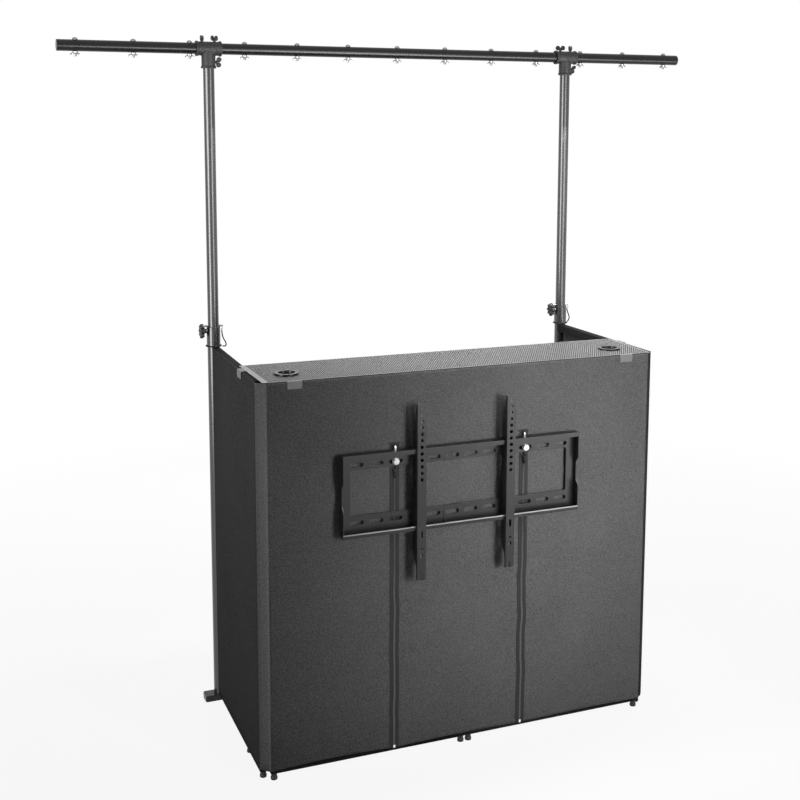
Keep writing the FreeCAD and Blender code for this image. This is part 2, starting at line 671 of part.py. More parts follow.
def zips():
    """Two-way zips with their tapes, coils, stops and sliders."""
    for side, sign in SIDES:
        middle = f"mount_x + {sign} * bolt_x"
        spread = box(f"zip_{side}_spread", (f"{middle} - zip_open_w / 2", f"{middle} + zip_open_w / 2"),
                     ("face - 2 * tape_t", "face + tape_t"),
                     ("bolt_z - zip_open_h / 2", "bolt_z + zip_open_h / 2"))
        pieces = []
        for edge, hand in SIDES:
            near = f"{middle} + {hand} * coil_w / 2"
            far = f"{middle} + {hand} * (zip_slit / 2 + zip_tape)"
            across = (near, far) if hand > 0 else (far, near)
            tape = box(f"zip_{side}_{edge}_strip", across, ("tape_face", "face"), ("hem", "zip_top"))
            pieces.append(cut(f"zip_{side}_{edge}_tape", tape, spread))
        across = (f"{middle} - coil_w / 2", f"{middle} + coil_w / 2")
        pieces.append(box(f"zip_{side}_coil", across, ("coil_face", "face"),
                          ("hem + stop_h", "slider_low - slider_h / 4")))
        pieces.append(box(f"zip_{side}_stop", across, ("coil_face - coil_t", "face"),
                          ("hem", "hem + stop_h")))
        node(group(f"zip_{side}", *pieces), f"{side}_zip")
        for word, z in (("upper", "slider_up"), ("lower", "slider_low")):
            name = f"slider_{word}_{side}"
            block = box(name + "_block", (f"{middle} - slider_w / 2", f"{middle} + slider_w / 2"),
                        ("slider_back - slider_t", "slider_back"),
                        (f"{z} - slider_h / 2", f"{z} + slider_h / 2"))
            groove = "coil_w / 2 + seat"
            channel = box(name + "_channel", (f"{middle} - ({groove})", f"{middle} + {groove}"),
                          ("coil_face - seat", "face"), (f"{z} - slider_h", f"{z} + slider_h"))
            pull = box(name + "_pull", (f"{middle} - pull_w / 2", f"{middle} + pull_w / 2"),
                       ("slider_back - slider_t - pull_t", "slider_back - slider_t"),
                       (f"{z} - slider_h / 2 - pull_len", f"{z} + slider_h / 4"))
            node(fuse(name, cut(name + "_cut", block, channel), pull), f"{side}_{word}_slider")


def wall_plate():
    """The screen bracket's plate: a bent sheet with lipped rails, notched ends, a window and slots."""
    body = new_body("plate")
    place(body, "mount_x", "plate_back", "plate_top - plate_h")
    section = new_sketch(body, "plate_section", "YZ_Plane")
    inside = "sheet - rail_depth"
    outline(section, [
        (0, 0), ("-rail_depth", 0), ("-rail_depth", "rail_lip"), (inside, "rail_lip"), (inside, "sheet"),
        ("-sheet", "sheet"), ("-sheet", "plate_h - sheet"), (inside, "plate_h - sheet"),
        (inside, "plate_h - rail_lip"), ("-rail_depth", "plate_h - rail_lip"), ("-rail_depth", "plate_h"),
        (0, "plate_h"),
    ])
    feature(body, "Pad", "plate_pad", section, "plate_w", middle=True)
    ends = {"low": "-plate_w / 2", "high": "plate_w / 2 - sheet"}
    for name, offset in ends.items():
        flange = new_sketch(body, f"plate_{name}_end", "YZ_Plane", offset)
        low = "plate_h / 2 - notch_h / 2"
        high = "plate_h / 2 + notch_h / 2"
        outline(flange, [
            (0, 0), ("-rail_depth", 0), ("-rail_depth", low), ("-rail_depth / 2", f"{low} + notch_run"),
            ("-rail_depth / 2", f"{high} - notch_run"), ("-rail_depth", high), ("-rail_depth", "plate_h"),
            (0, "plate_h"),
        ])
        feature(body, "Pad", f"plate_{name}_flange", flange, "sheet")
    window = new_sketch(body, "plate_window", "XZ_Plane")
    across = ("side_strip - plate_w / 2", "plate_w / 2 - side_strip")
    tall = ("low_strip", "plate_h - top_strip")
    rectangle(window, across, tall)
    opening = feature(body, "Pocket", "plate_window_cut", window, "2 * sheet", backwards=True)
    doc.recompute()
    corners = [Vector(size(x), 0, size(z)) for x in across for z in tall]
    names = []
    for i, edge in enumerate(opening.Shape.Edges, start=1):
        flat = Vector(edge.CenterOfMass.x, 0, edge.CenterOfMass.z)
        if edge.Length < size("2 * sheet") and min(flat.distanceToPoint(spot) for spot in corners) < 0.01:
            names.append(f"Edge{i}")
    rounded = body.newObject("PartDesign::Fillet", "plate_window_round")
    rounded.Base = (opening, names)
    rounded.setExpression("Radius", bound("window_round"))
    levels = {"top": "plate_h - slot_drop", "low": "slot_drop"}
    for name, z in levels.items():
        opening = new_sketch(body, f"plate_{name}_slot", "XZ_Plane")
        slot(opening, "-slot_row / 2", z, "slot_len", "slot_w")
        hole = feature(body, "Pocket", f"plate_{name}_slot_cut", opening, "2 * sheet", backwards=True)
        pattern(body, f"plate_{name}_slots", hole, "X_Axis", "slot_row", "slot_count")
    node(body, "bracket_wall_plate")


def screen_arms():
    """Two hanging channels with notches for the plate's rails and a row of screen holes."""
    plate_low = "plate_top - plate_h - arm_low"
    rail_low = f"{plate_low} - seat"
    rail_low_end = f"{plate_low} + rail_lip + 2 * seat"
    rail_high = f"{plate_low} + plate_h - rail_lip - 2 * seat"
    rail_high_end = f"{plate_low} + plate_h + seat"
    neck = "arm_neck - arm_reach"
    tip = "arm_tip - arm_reach"
    for side, sign in SIDES:
        name = f"arm_{side}"
        body = new_body(name)
        place(body, f"mount_x + {sign} * arm_x", "plate_back", "arm_low")
        profile = new_sketch(body, name + "_side", "YZ_Plane")
        outline(profile, [
            ("-arm_reach", 0), (tip, 0), (tip, "arm_bump / 2"), ("-2 * arm_clear", "arm_bump"),
            ("-2 * arm_clear", rail_low), (neck, rail_low), (neck, rail_low_end),
            ("-arm_clear", rail_low_end), ("-arm_clear", rail_high), (neck, rail_high),
            (neck, rail_high_end), ("-arm_clear", rail_high_end), ("-arm_clear", f"{rail_high_end} + arm_w"),
            (tip, "arm_len"), ("-arm_reach", "arm_len"),
        ])
        feature(body, "Pad", name + "_pad", profile, "arm_w", middle=True)
        channel = new_sketch(body, name + "_channel", "XZ_Plane")
        rectangle(channel, ("sheet - arm_w / 2", "arm_w / 2 - sheet"), ("-arm_w", "arm_len + arm_w"))
        feature(body, "Pocket", name + "_hollow", channel, "arm_reach - sheet", backwards=True)
        hole = new_sketch(body, name + "_hole", "XZ_Plane")
        circle(hole, 0, "arm_len - vesa_first", "vesa_hole / 2")
        drill = feature(body, "Pocket", name + "_drill", hole, "arm_reach + sheet", backwards=True)
        row = pattern(body, name + "_row", drill, "Z_Axis", "vesa_span", "vesa_count")
        row.Reversed = True
        extra = new_sketch(body, name + "_latch_holes", "XZ_Plane")
        latch = "1.7 * arm_bump"
        rectangle(extra, ("-vesa_hole / 3", "vesa_hole / 3"), (latch, f"{latch} + 2 * vesa_hole"))
        circle(extra, 0, "arm_bump", "vesa_hole / 2")
        circle(extra, 0, "1.25 * arm_bump", "vesa_hole / 3")
        feature(body, "Pocket", name + "_latch_cut", extra, "arm_reach + sheet", backwards=True)
        node(body, f"{side}_screen_arm")


def bracket_fasteners():
    """Bolts, washers, spacers and nuts that hold the plate to the uprights through the open zips."""
    bolts = []
    washers = []
    spacers = []
    nuts = []
    washer = ("plate_face - washer_t", "plate_face")
    head = ("plate_face - washer_t - bolt_head_t", "plate_face - washer_t")
    nut = ("frame_back", "frame_back + nut_t")
    for side, sign in SIDES:
        middle = f"mount_x + {sign} * bolt_x"
        spot = (middle, "bolt_z")
        shank = rod(f"bolt_{side}_shank", "bolt_r", "y", (head[1], f"{nut[1]} + bolt_tail"), *spot)
        cap = solid("Part::Prism", f"bolt_{side}_head", Circumradius="bolt_head_r", Height="bolt_head_t")
        cap.Polygon = 6
        place(cap, middle, head[0], "bolt_z", *TURNS["y"])
        bolts.append(fuse(f"bolt_{side}", shank, cap))
        hex_nut = solid("Part::Prism", f"nut_{side}_hex", Circumradius="bolt_head_r", Height="nut_t")
        hex_nut.Polygon = 6
        place(hex_nut, middle, nut[0], "bolt_z", *TURNS["y"])
        rings = {
            "nut": (hex_nut, nut, nuts),
            "washer": (rod(f"washer_{side}_disc", "washer_r", "y", washer, *spot), washer, washers),
            "spacer": (rod(f"spacer_{side}_rod", "spacer_r", "y", ("plate_back", "frame_front"), *spot),
                       ("plate_back", "frame_front"), spacers),
        }
        for name, (blank, ends, kept) in rings.items():
            past = (f"{ends[0]} - bolt_d", f"{ends[1]} + bolt_d")
            bore = rod(f"{name}_{side}_bore", "bolt_bore", "y", past, *spot)
            kept.append(cut(f"{name}_{side}", blank, bore))
    node(group("bracket_bolts", *bolts), "bracket_bolts")
    node(group("bracket_spacers", *spacers), "bracket_spacers")
    node(group("bracket_nuts", *nuts, *washers), "bracket_nuts")


def shelf():
    """The sheet steel shelf with its hooks over the frame and two cable grommets."""
    body = new_body("shelf")
    place(body, 0, "face", "height")
    plate = new_sketch(body, "shelf_plate", "XY_Plane")
    rectangle(plate, ("-shelf_half", "shelf_half"), ("shelf_front", "shelf_depth"))
    feature(body, "Pad", "shelf_pad", plate, "sheet", backwards=True)
    lip = new_sketch(body, "shelf_lip_plan", "XY_Plane")
    rectangle(lip, ("tube - wing_in", "wing_in - tube"), ("shelf_depth - sheet", "shelf_depth"))
    feature(body, "Pad", "shelf_lip_pad", lip, "shelf_lip", backwards=True)
    holes = new_sketch(body, "shelf_holes", "XY_Plane")
    for side, sign in SIDES:
        circle(holes, f"{sign} * grommet_x", "grommet_back", "grommet_bore / 2 + grommet_wall + seat")
    feature(body, "Pocket", "shelf_hole_cut", holes, "2 * sheet")
    node(body, "shelf_panel")
    level = ("height - sheet", "height")
    leg = ("height - hook_drop", "height")
    hooks = []
    for side, sign in SIDES:
        across = (f"{sign} * hook_x - hook_w / 2", f"{sign} * hook_x + hook_w / 2")
        reach = ("face - hook_gap - sheet", "face + shelf_front")
        top = box(f"hook_front_{side}_top", across, reach, level)
        front = box(f"hook_front_{side}_leg", across, ("face - hook_gap - sheet", "face - hook_gap"), leg)
        hooks.append(fuse(f"hook_front_{side}", top, front))
        along = ("face + hook_back - hook_w / 2", "face + hook_back + hook_w / 2")
        near = leaned("half", along[0])[0] + " + hook_gap"
        top = box(f"hook_side_{side}_top", span(sign, "shelf_half", near + " + sheet"), along, level)
        edge = box(f"hook_side_{side}_leg", span(sign, near, near + " + sheet"), along, leg)
        hooks.append(fuse(f"hook_side_{side}", top, edge))
    node(group("hooks", *hooks), "shelf_hooks")
    for side, sign in SIDES:
        ring = new_body(f"grommet_{side}")
        place(ring, f"{sign} * grommet_x", "face + grommet_back", "height")
        bore = "grommet_bore / 2"
        barrel = f"{bore} + grommet_wall"
        rim = f"{barrel} + grommet_rim"
        revolved(ring, f"grommet_{side}", [
            (bore, "-grommet_len"), (barrel, "-grommet_len"), (barrel, 0), (rim, 0),
            (rim, "grommet_rim_t / 2"), (f"{rim} - grommet_rim_t / 2", "grommet_rim_t"),
            (bore, "grommet_rim_t"),
        ])
        node(ring, f"{side}_cable_grommet")


def work_board():
    """The board inside the booth that the player's gear stands on."""
    across = ("board_gap + wing_lean - wing_in", "wing_in - wing_lean - board_gap")
    along = ("face + board_front", "post_y - post_r - board_gap")
    node(box("board", across, along, ("work_h - board_t", "work_h")), "work_board")


def collars():
    """Clamp collars on the rear posts, with their knobs and the lanyard loops round them."""
    loops = []
    for side, sign in SIDES:
        body = new_body(f"collar_{side}")
        place(body, f"{sign} * post_x", "post_y", "collar_low")
        step = "collar_skirt + seat"
        wide = "post_r + seat"
        slim = "pole_r + seat"
        revolved(body, f"collar_{side}", [
            (wide, 0), ("collar_r", 0), ("collar_r", "collar_h"),
            (slim, "collar_h"), (slim, step), (wide, step),
        ])
        knob_height = "collar_h - knob_drop"
        boss = new_sketch(body, f"collar_{side}_boss", "YZ_Plane", "-collar_r - boss_len")
        circle(boss, 0, knob_height, "boss_r")
        feature(body, "Pad", f"collar_{side}_boss_pad", boss, "boss_len + collar_wall")
        thread = new_sketch(body, f"collar_{side}_thread", "YZ_Plane", "-collar_r - boss_len")
        circle(thread, 0, knob_height, "bolt_bore")
        feature(body, "Pocket", f"collar_{side}_thread_cut", thread, "boss_len + pole_r", backwards=True)
        node(body, f"{side}_collar")
        clamp_knob(side, f"{sign} * post_x")
        ring = solid("Part::Torus", f"loop_{side}", Radius1="loop_r", Radius2="cord_d / 2")
        loops.append(place(ring, f"{sign} * post_x", "post_y", "collar_low + cord_d"))
    node(group("loops", *loops), "lanyard_loops")


def clamp_knob(side, x):
    """A lobed knob whose screw presses on the pole, along -X."""
    inner = f"{x} - collar_r - boss_len - seat"
    hub = (f"{inner} - knob_hub_t", inner)
    head = (f"{hub[0]} - knob_t", f"{hub[0]}")
    spot = ("post_y", "knob_z")
    pieces = [
        rod(f"knob_{side}_screw", "bolt_r", "x", (head[1], f"{x} - pole_r - seat"), *spot),
        rod(f"knob_{side}_hub", "knob_hub_r", "x", hub, *spot),
        rod(f"knob_{side}_disc", "knob_r", "x", head, *spot),
    ]
    lobes = 8
    for i in range(lobes):
        angle = f"{360 * i / lobes} deg"
        pieces.append(rod(f"knob_{side}_lobe{i}", "lobe_r", "x", head, f"post_y + knob_r * cos({angle})",
                          f"knob_z + knob_r * sin({angle})"))
    node(fuse(f"knob_{side}", *pieces), f"{side}_clamp_knob")


# Lanyard routes in X and Z from the pole's surface and the lock pin, chosen by eye, upper end first.
LANYARDS = {
    "left": [
        (9.0, -14.9), (9.6, -26), (12.4, -38), (18.5, -48.5), (22.5, -58), (18.5, -65), (10.6, -62.5),
    ],
    "right": [
        (9.0, -14.9), (11.2, -25), (16.0, -35), (18.8, -45), (16.0, -54), (10.4, -59.4),
    ],
}
BEND_SHARE = 0.45


def bent_path(points):
    """Straight runs joined by tangent arcs, each as large as its two runs allow."""
    edges = []
    radii = []
    start = points[0]
    for before, corner, after in zip(points, points[1:], points[2:]):
        inward = (before - corner).normalize()
        outward = (after - corner).normalize()
        half_turn = (math.pi - inward.getAngle(outward)) / 2
        reach = BEND_SHARE * min((before - corner).Length, (after - corner).Length)
        bisector = (inward + outward).normalize()
        radii.append(reach / math.tan(half_turn))
        enter = corner + inward * reach
        leave = corner + outward * reach
        centre = corner + bisector * math.hypot(reach, radii[-1])
        middle = centre - bisector * radii[-1]
        edges.append(Part.LineSegment(start, enter).toShape())
        edges.append(Part.Arc(enter, middle, leave).toShape())
        start = leave
    edges.append(Part.LineSegment(start, points[-1]).toShape())
    return Part.Wire(edges), radii


def lock_pins():
    """Lock pins through the poles, with a pull ring and a lanyard each."""
    for side, sign in SIDES:
        x = f"{sign} * post_x"
        ends = (f"{x} - pole_r - pin_out", f"{x} + pole_r + pin_ring")
        shaft = rod(f"pin_{side}_shaft", "pin_d / 2", "x", ends, "post_y", "pin_z")
        across = ("post_y - pin_d", "post_y + pin_d")
        eye = rod(f"pin_{side}_eye", "2 * ring_wire", "y", across, f"{x} + ring_x", "pin_z - ring_wire / 3")
        pin = cut(f"pin_{side}_shank", shaft, eye)
        ring = solid("Part::Torus", f"ring_{side}", Radius1="ring_r", Radius2="ring_wire")
        place(ring, f"{x} + ring_x", "post_y", "pin_z - ring_wire / 4 - ring_r", (0, 1, 0), 90)
        node(group(f"pin_{side}", pin, ring), f"{side}_lock_pin")
        points = [Vector(dx, 0, dz) for dx, dz in LANYARDS[side]]
        path, radii = bent_path(points)
        radius = size("cord_d / 2")
        start = (points[1] - points[0]).normalize()
        profile = Part.Wire(Part.Circle(points[0], start, radius).toShape())
        cord = doc.addObject("Part::Feature", f"lanyard_{side}")
        cord.Shape = path.makePipeShell([profile], True, False)
        place(cord, f"{x} + pole_r", "post_y", "pin_z")
        wanted = math.pi * radius ** 2 * path.Length
        share = cord.Shape.Volume / wanted
        print(f"{side} lanyard: length {path.Length:.1f}, volume {share:.3f} of section times length")
        print(f"{side} lanyard radii: {[round(r, 1) for r in radii]}")
        node(cord, f"{side}_lanyard")


def light_poles():
    """Telescoping poles that carry the crossbar, drilled for the lock pins."""
    for side, sign in SIDES:
        x = f"{sign} * post_x"
        tube = round_tube(f"pole_{side}", "pole_r", "z", ("collar_top - pole_in", "pole_top"), x, "post_y")
        through = (f"{x} - pole_od", f"{x} + pole_od")
        hole = rod(f"pole_{side}_hole", "pin_d / 2 + seat", "x", through, "post_y", "pin_z")
        node(cut(f"pole_{side}_drilled", tube, hole), f"{side}_pole")


def tee_fittings():
    """Cast tees between poles and crossbar, each with three wing screws."""
    turns = {"left": (35, 60, 20), "right": (-30, 40, 35)}
    for side, sign in SIDES:
        x = f"{sign} * post_x"
        name = f"tee_{side}"
        ends = (f"{x} - tee_len / 2", f"{x} + tee_len / 2")
        bar = ("post_y", "bar_z")
        whole = fuse(
            name + "_whole",
            rod(name + "_run", "tee_r", "x", ends, *bar),
            rod(name + "_rim_low", "rim_r", "x", (ends[0], f"{ends[0]} + tee_rim_w"), *bar),
            rod(name + "_rim_high", "rim_r", "x", (f"{ends[1]} - tee_rim_w", ends[1]), *bar),
            rod(name + "_socket", "tee_r", "z", ("tee_low", "bar_z"), x, "post_y"),
            rod(name + "_rim_foot", "rim_r", "z", ("tee_low", "tee_low + tee_rim_w"), x, "post_y"),
        )
        deep = ("tee_low - tee_rim_w", "pole_top + seat")
        flank_z = "tee_low + tee_screw_up"
        tools = [
            rod(name + "_bar_bore", "bar_r + seat", "x", (f"{x} - tee_len", f"{x} + tee_len"), *bar),
            rod(name + "_pole_bore", "pole_r + seat", "z", deep, x, "post_y"),
            rod(name + "_side_thread", "bolt_bore", "x", (x, f"{x} + 2 * tee_r"), "post_y", flank_z),
        ]
        for hand in (-1, 1):
            tools.append(rod(f"{name}_thread{hand + 1}", "bolt_bore", "z", ("bar_z", "bar_z + 2 * tee_r"),
                             f"{x} + {hand} * tee_screw_x", "post_y"))
        node(cut(name, whole, *tools), f"{side}_tee")
        low, high, flank = turns[side]
        for word, hand, turn in (("inner", -sign, low), ("outer", sign, high)):
            screw = wing_screw(f"{name}_{word}_screw", "tee_r - bar_r - seat", turn)
            place(screw, f"{x} + {hand} * tee_screw_x", "post_y", "bar_z + tee_r", (0, 0, 1), 0)
            node(screw, f"{side}_tee_{word}_screw")
        screw = wing_screw(name + "_pole_screw", "tee_r - pole_r - seat", flank)
        place(screw, f"{x} + tee_r", "post_y", flank_z, (0, 1, 0), 90)
        node(screw, f"{side}_tee_pole_screw")


def wing_screw(name, depth, turn):
    """A screw along +Z with two round ears, turned by hand to some angle."""
    pieces = [
        rod(name + "_stem", "bolt_r", "z", (f"-({depth})", "stem_hub_t / 2")),
        rod(name + "_hub", "stem_hub_r", "z", ("tee_rim + seat", "tee_rim + seat + stem_hub_t")),
    ]
    for hand in (-1, 1):
        ear = solid("Part::Cylinder", f"{name}_ear{hand + 1}", Radius="ear_r", Height="ear_t")
        upright = FreeCAD.Rotation(Vector(1, 0, 0), -90)
        ear.Placement.Rotation = FreeCAD.Rotation(Vector(0, 0, 1), turn) * upright
        along = f"{hand} * ear_x * cos({turn} deg) + ear_t / 2 * sin({turn} deg)"
        across = f"{hand} * ear_x * sin({turn} deg) - ear_t / 2 * cos({turn} deg)"
        pieces.append(place(ear, along, across, "ear_z"))
    return fuse(name, *pieces)


def crossbar():
    """The two-piece bar with its inner sleeve, end caps, light bolts and wing nuts."""
    each = int(size("light_each"))
    spots = [f"{i} * light_step" for i in range(-each, each + 1)]
    for i in range(each):
        far = f"post_x + light_out + {i} * light_pitch"
        spots = [f"-({far})", *spots, far]
    bores = [rod(f"bar_bore{i}", "bolt_bore", "z", ("bar_z - bar_od", "bar_z + bar_od"), x, "post_y")
             for i, x in enumerate(spots)]
    lengths = {
        "left": ("cap_t - half_bar", "bar_seam - seat / 2"),
        "right": ("bar_seam + seat / 2", "half_bar - cap_t"),
    }
    for side, ends in lengths.items():
        tube = round_tube(f"bar_{side}", "bar_r", "x", ends, "post_y", "bar_z")
        node(cut(f"bar_{side}_drilled", tube, *bores), f"{side}_crossbar")
    inner = "bar_r - tube_wall - seat"
    middle = ("bar_seam - spigot_len / 2", "bar_seam + spigot_len / 2")
    sleeve = round_tube("spigot", inner, "x", middle, "post_y", "bar_z")
    node(cut("spigot_drilled", sleeve, *bores), "crossbar_sleeve")
    caps = []
    for side, sign in SIDES:
        outside = span(sign, "half_bar - cap_t", "half_bar")
        inside = span(sign, "half_bar - cap_t - cap_plug", "half_bar - cap_t / 2")
        lid = rod(f"cap_{side}_lid", "bar_r", "x", outside, "post_y", "bar_z")
        plug = rod(f"cap_{side}_plug", inner, "x", inside, "post_y", "bar_z")
        caps.append(fuse(f"cap_{side}", lid, plug))
    node(group("caps", *caps), "crossbar_caps")
    bolts = []
    nuts = []
    for i, x in enumerate(spots):
        seat_z = "bar_z + bar_r + seat"
        cap = (seat_z, f"{seat_z} + light_head_t")
        tail = ("bar_z - bar_r - light_tail", seat_z)
        head = rod(f"light_bolt{i}_head", "light_head_r", "z", cap, x, "post_y")
        shank = rod(f"light_bolt{i}_shank", "bolt_r", "z", tail, x, "post_y")
        bolts.append(fuse(f"light_bolt{i}", head, shank))
        nuts.append(wing_nut(f"light_nut{i}", x))
    node(group("light_bolts", *bolts), "light_bolts")
    node(group("light_nuts", *nuts), "light_wing_nuts")


def wing_nut(name, x):
    """A nut under the crossbar with two wings pointing down."""
    top = "bar_z - bar_r - seat"
    hub = solid("Part::Cone", name + "_hub", Radius1="nut_tip_r", Radius2="nut_r", Height="nut_h")
    place(hub, x, "post_y", f"{top} - nut_h")
    wings = box(name + "_wings", (f"{x} - wing_span", f"{x} + wing_span"),
                ("post_y - wing_t / 2", "post_y + wing_t / 2"),
                (f"{top} - wing_drop - wing_h", f"{top} - wing_drop"))
    bore = rod(name + "_bore", "bolt_bore", "z", (f"{top} - 2 * light_tail", "bar_z"), x, "post_y")
    return cut(name, fuse(name + "_whole", hub, wings), bore)


def check():
    """Stops on any object that failed to build."""
    doc.recompute()
    for item in doc.Objects:
        if "Invalid" in item.State or "Error" in item.State:
            raise RuntimeError(f"{item.Label} failed: {item.State}")
        if item.TypeId == "PartDesign::Pocket":
            removed = item.BaseFeature.Shape.Volume - item.Shape.Volume
            if removed < 1:
                raise RuntimeError(f"{item.Label} cuts nothing")
    for item in nodes:
        if item.Shape.isNull() or not item.Shape.isValid():
            raise RuntimeError(f"{item.Label} has no valid shape")


def export():
    """Writes one STEP file for each sub-part."""
    os.makedirs("parts", exist_ok=True)
    for item in nodes:
        item.Shape.exportStep(f"parts/{item.Label}.step")
    total = sum(len(item.Shape.Solids) for item in nodes)
    print(f"{len(nodes)} nodes, {total} solids")


fill_sheet()
front_frames()
side_frames()
hinges()
feet()
cloth_panels()
zips()
wall_plate()
screen_arms()
bracket_fasteners()
shelf()
work_board()
collars()
lock_pins()
light_poles()
tee_fittings()
crossbar()
check()
export()
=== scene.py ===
import bmesh
import bpy
import json
import math
from mathutils import Matrix, Vector


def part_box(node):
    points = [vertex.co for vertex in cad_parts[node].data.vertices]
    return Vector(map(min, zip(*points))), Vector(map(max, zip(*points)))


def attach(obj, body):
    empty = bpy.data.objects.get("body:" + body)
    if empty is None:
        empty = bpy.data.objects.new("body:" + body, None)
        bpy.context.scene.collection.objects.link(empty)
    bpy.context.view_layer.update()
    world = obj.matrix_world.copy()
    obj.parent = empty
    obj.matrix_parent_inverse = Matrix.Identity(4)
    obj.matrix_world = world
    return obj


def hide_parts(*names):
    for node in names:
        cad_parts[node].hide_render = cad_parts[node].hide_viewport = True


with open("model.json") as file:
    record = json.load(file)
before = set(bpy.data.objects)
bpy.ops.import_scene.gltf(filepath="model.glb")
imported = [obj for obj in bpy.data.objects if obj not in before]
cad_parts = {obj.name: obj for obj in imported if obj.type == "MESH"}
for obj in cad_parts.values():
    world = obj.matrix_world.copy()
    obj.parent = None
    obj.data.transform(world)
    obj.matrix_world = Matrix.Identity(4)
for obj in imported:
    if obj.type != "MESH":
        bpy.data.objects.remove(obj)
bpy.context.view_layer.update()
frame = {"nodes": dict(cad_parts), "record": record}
NODES = frame["nodes"]
MM = 0.001
SIDES = (("left", -1), ("right", 1))

# Places in the shared frame, in metres.
FACE = -0.2684
POST_X = 0.58
POST_Y = 0.2916
HEM = 0.028
CLOTH_TOP = 1.0977
SHELF_TOP = 1.1
COLLAR_Z = 1.0985
LOOP_Z = 1.1021
KNOB_Z = 1.147
PIN_Z = 1.1618
BAR_Z = 1.968
BAR_R = 0.016
BOLT_Z = 0.858
ZIP_TOP = 0.908
BAR_SCREW_Z = 1.988
POLE_SCREW_Z = 1.930
ZIP_X = {"left": -0.221, "right": 0.171}
PANEL_OUT = 0.575
WING_OUT = 0.6
WING_FRONT = -0.2434
WING_BACK = 0.2736
HINGE_X = 0.5719
HINGE_Y = -0.2403
WING_LEAN = 0.012


class Wire:
    """A node's output that works in Python sums: each operator adds a Math node."""

    def __init__(self, finish, socket):
        self.finish = finish
        self.socket = socket

    def sum(self, operation, *parts):
        return self.finish.node("ShaderNodeMath", {"operation": operation}, dict(enumerate(parts)))

    def __add__(self, other):
        return self.sum("ADD", self, other)

    def __radd__(self, other):
        return self.sum("ADD", other, self)

    def __sub__(self, other):
        return self.sum("SUBTRACT", self, other)

    def __rsub__(self, other):
        return self.sum("SUBTRACT", other, self)

    def __mul__(self, other):
        return self.sum("MULTIPLY", self, other)

    def __rmul__(self, other):
        return self.sum("MULTIPLY", other, self)

    def wave(self, length):
        """A sine of this value that repeats after a length."""
        return self.sum("SINE", self * (math.tau / length))

    def size(self):
        """This value without its sign."""
        return self.sum("ABSOLUTE", self)

    def under(self, limit):
        """1 where this value is below a limit, or else 0."""
        return self.sum("LESS_THAN", self, limit)


class Finish:
    """A material and the nodes that make it."""

    def __init__(self, name, **fixed):
        self.material = bpy.data.materials.new(name)
        self.material.use_nodes = True
        self.tree = self.material.node_tree
        self.shader = self.tree.nodes["Principled BSDF"]
        self.set(self.shader, {key.replace("_", " "): value for key, value in fixed.items()})
        self.here = self.node("ShaderNodeTexCoord", output="Object")

    def set(self, node, values):
        """Fills sockets with plain values or links them to wires."""
        for key, value in values.items():
            if isinstance(value, Wire):
                self.tree.links.new(value.socket, node.inputs[key])
            else:
                node.inputs[key].default_value = value

    def node(self, kind, settings=None, values=None, output=0):
        """Adds a node, sets it up, fills its sockets and returns one of its outputs."""
        item = self.tree.nodes.new(kind)
        for key, value in (settings or {}).items():
            if key == "stops":
                while len(item.color_ramp.elements) < len(value):
                    item.color_ramp.elements.new(0.5)
                for stop, (place, shade) in zip(item.color_ramp.elements, value):
                    stop.position = place
                    stop.color = grey(shade)
            else:
                setattr(item, key, value)
        self.set(item, values or {})
        return Wire(self, item.outputs[output])

    def feed(self, **wires):
        """Links wires to the shader's own sockets."""
        self.set(self.shader, {key.replace("_", " "): wire for key, wire in wires.items()})

    def along(self, axis):
        """One coordinate of the surface point, in metres."""
        return self.node("ShaderNodeSeparateXYZ", None, {"Vector": self.here}, axis)

    def noise(self, scale, detail=2.0, stretch=(1, 1, 1)):
        where = self.node("ShaderNodeMapping", None, {"Vector": self.here, "Scale": stretch})
        return self.node("ShaderNodeTexNoise", None, {"Vector": where, "Scale": scale, "Detail": detail})

    def ramp(self, value, *stops):
        return self.node("ShaderNodeValToRGB", {"stops": stops}, {"Fac": value})

    def mix(self, share, first, second):
        """One colour going over into another."""
        return self.node("ShaderNodeMix", {"data_type": "RGBA"}, {0: share, 6: first, 7: second}, 2)

    def edges(self, radius, upper=False):
        """1 along outer and inner edges, or, with upper, only along the edges that face up, 0 on flat faces.
        The edges that face up serve for a painted highlight from light above.
        """
        rounded = self.node("ShaderNodeBevel", {"samples": 4}, {"Radius": radius})
        if upper:
            rise = self.node("ShaderNodeSeparateXYZ", None, {"Vector": rounded}, "Z")
            return self.ramp(rise, (0.12, 0), (0.4, 1), (0.8, 1), (0.95, 0))
        straight = self.node("ShaderNodeNewGeometry", None, None, "Normal")
        same = self.node("ShaderNodeVectorMath", {"operation": "DOT_PRODUCT"},
                         {0: rounded, 1: straight}, "Value")
        return self.ramp(1 - same, (0.01, 0), (0.16, 1))

    def bump(self, height, strength, depth):
        self.feed(Normal=self.node("ShaderNodeBump", None,
                                   {"Height": height, "Strength": strength, "Distance": depth}))


def grey(level):
    return (level, level, level, 1)


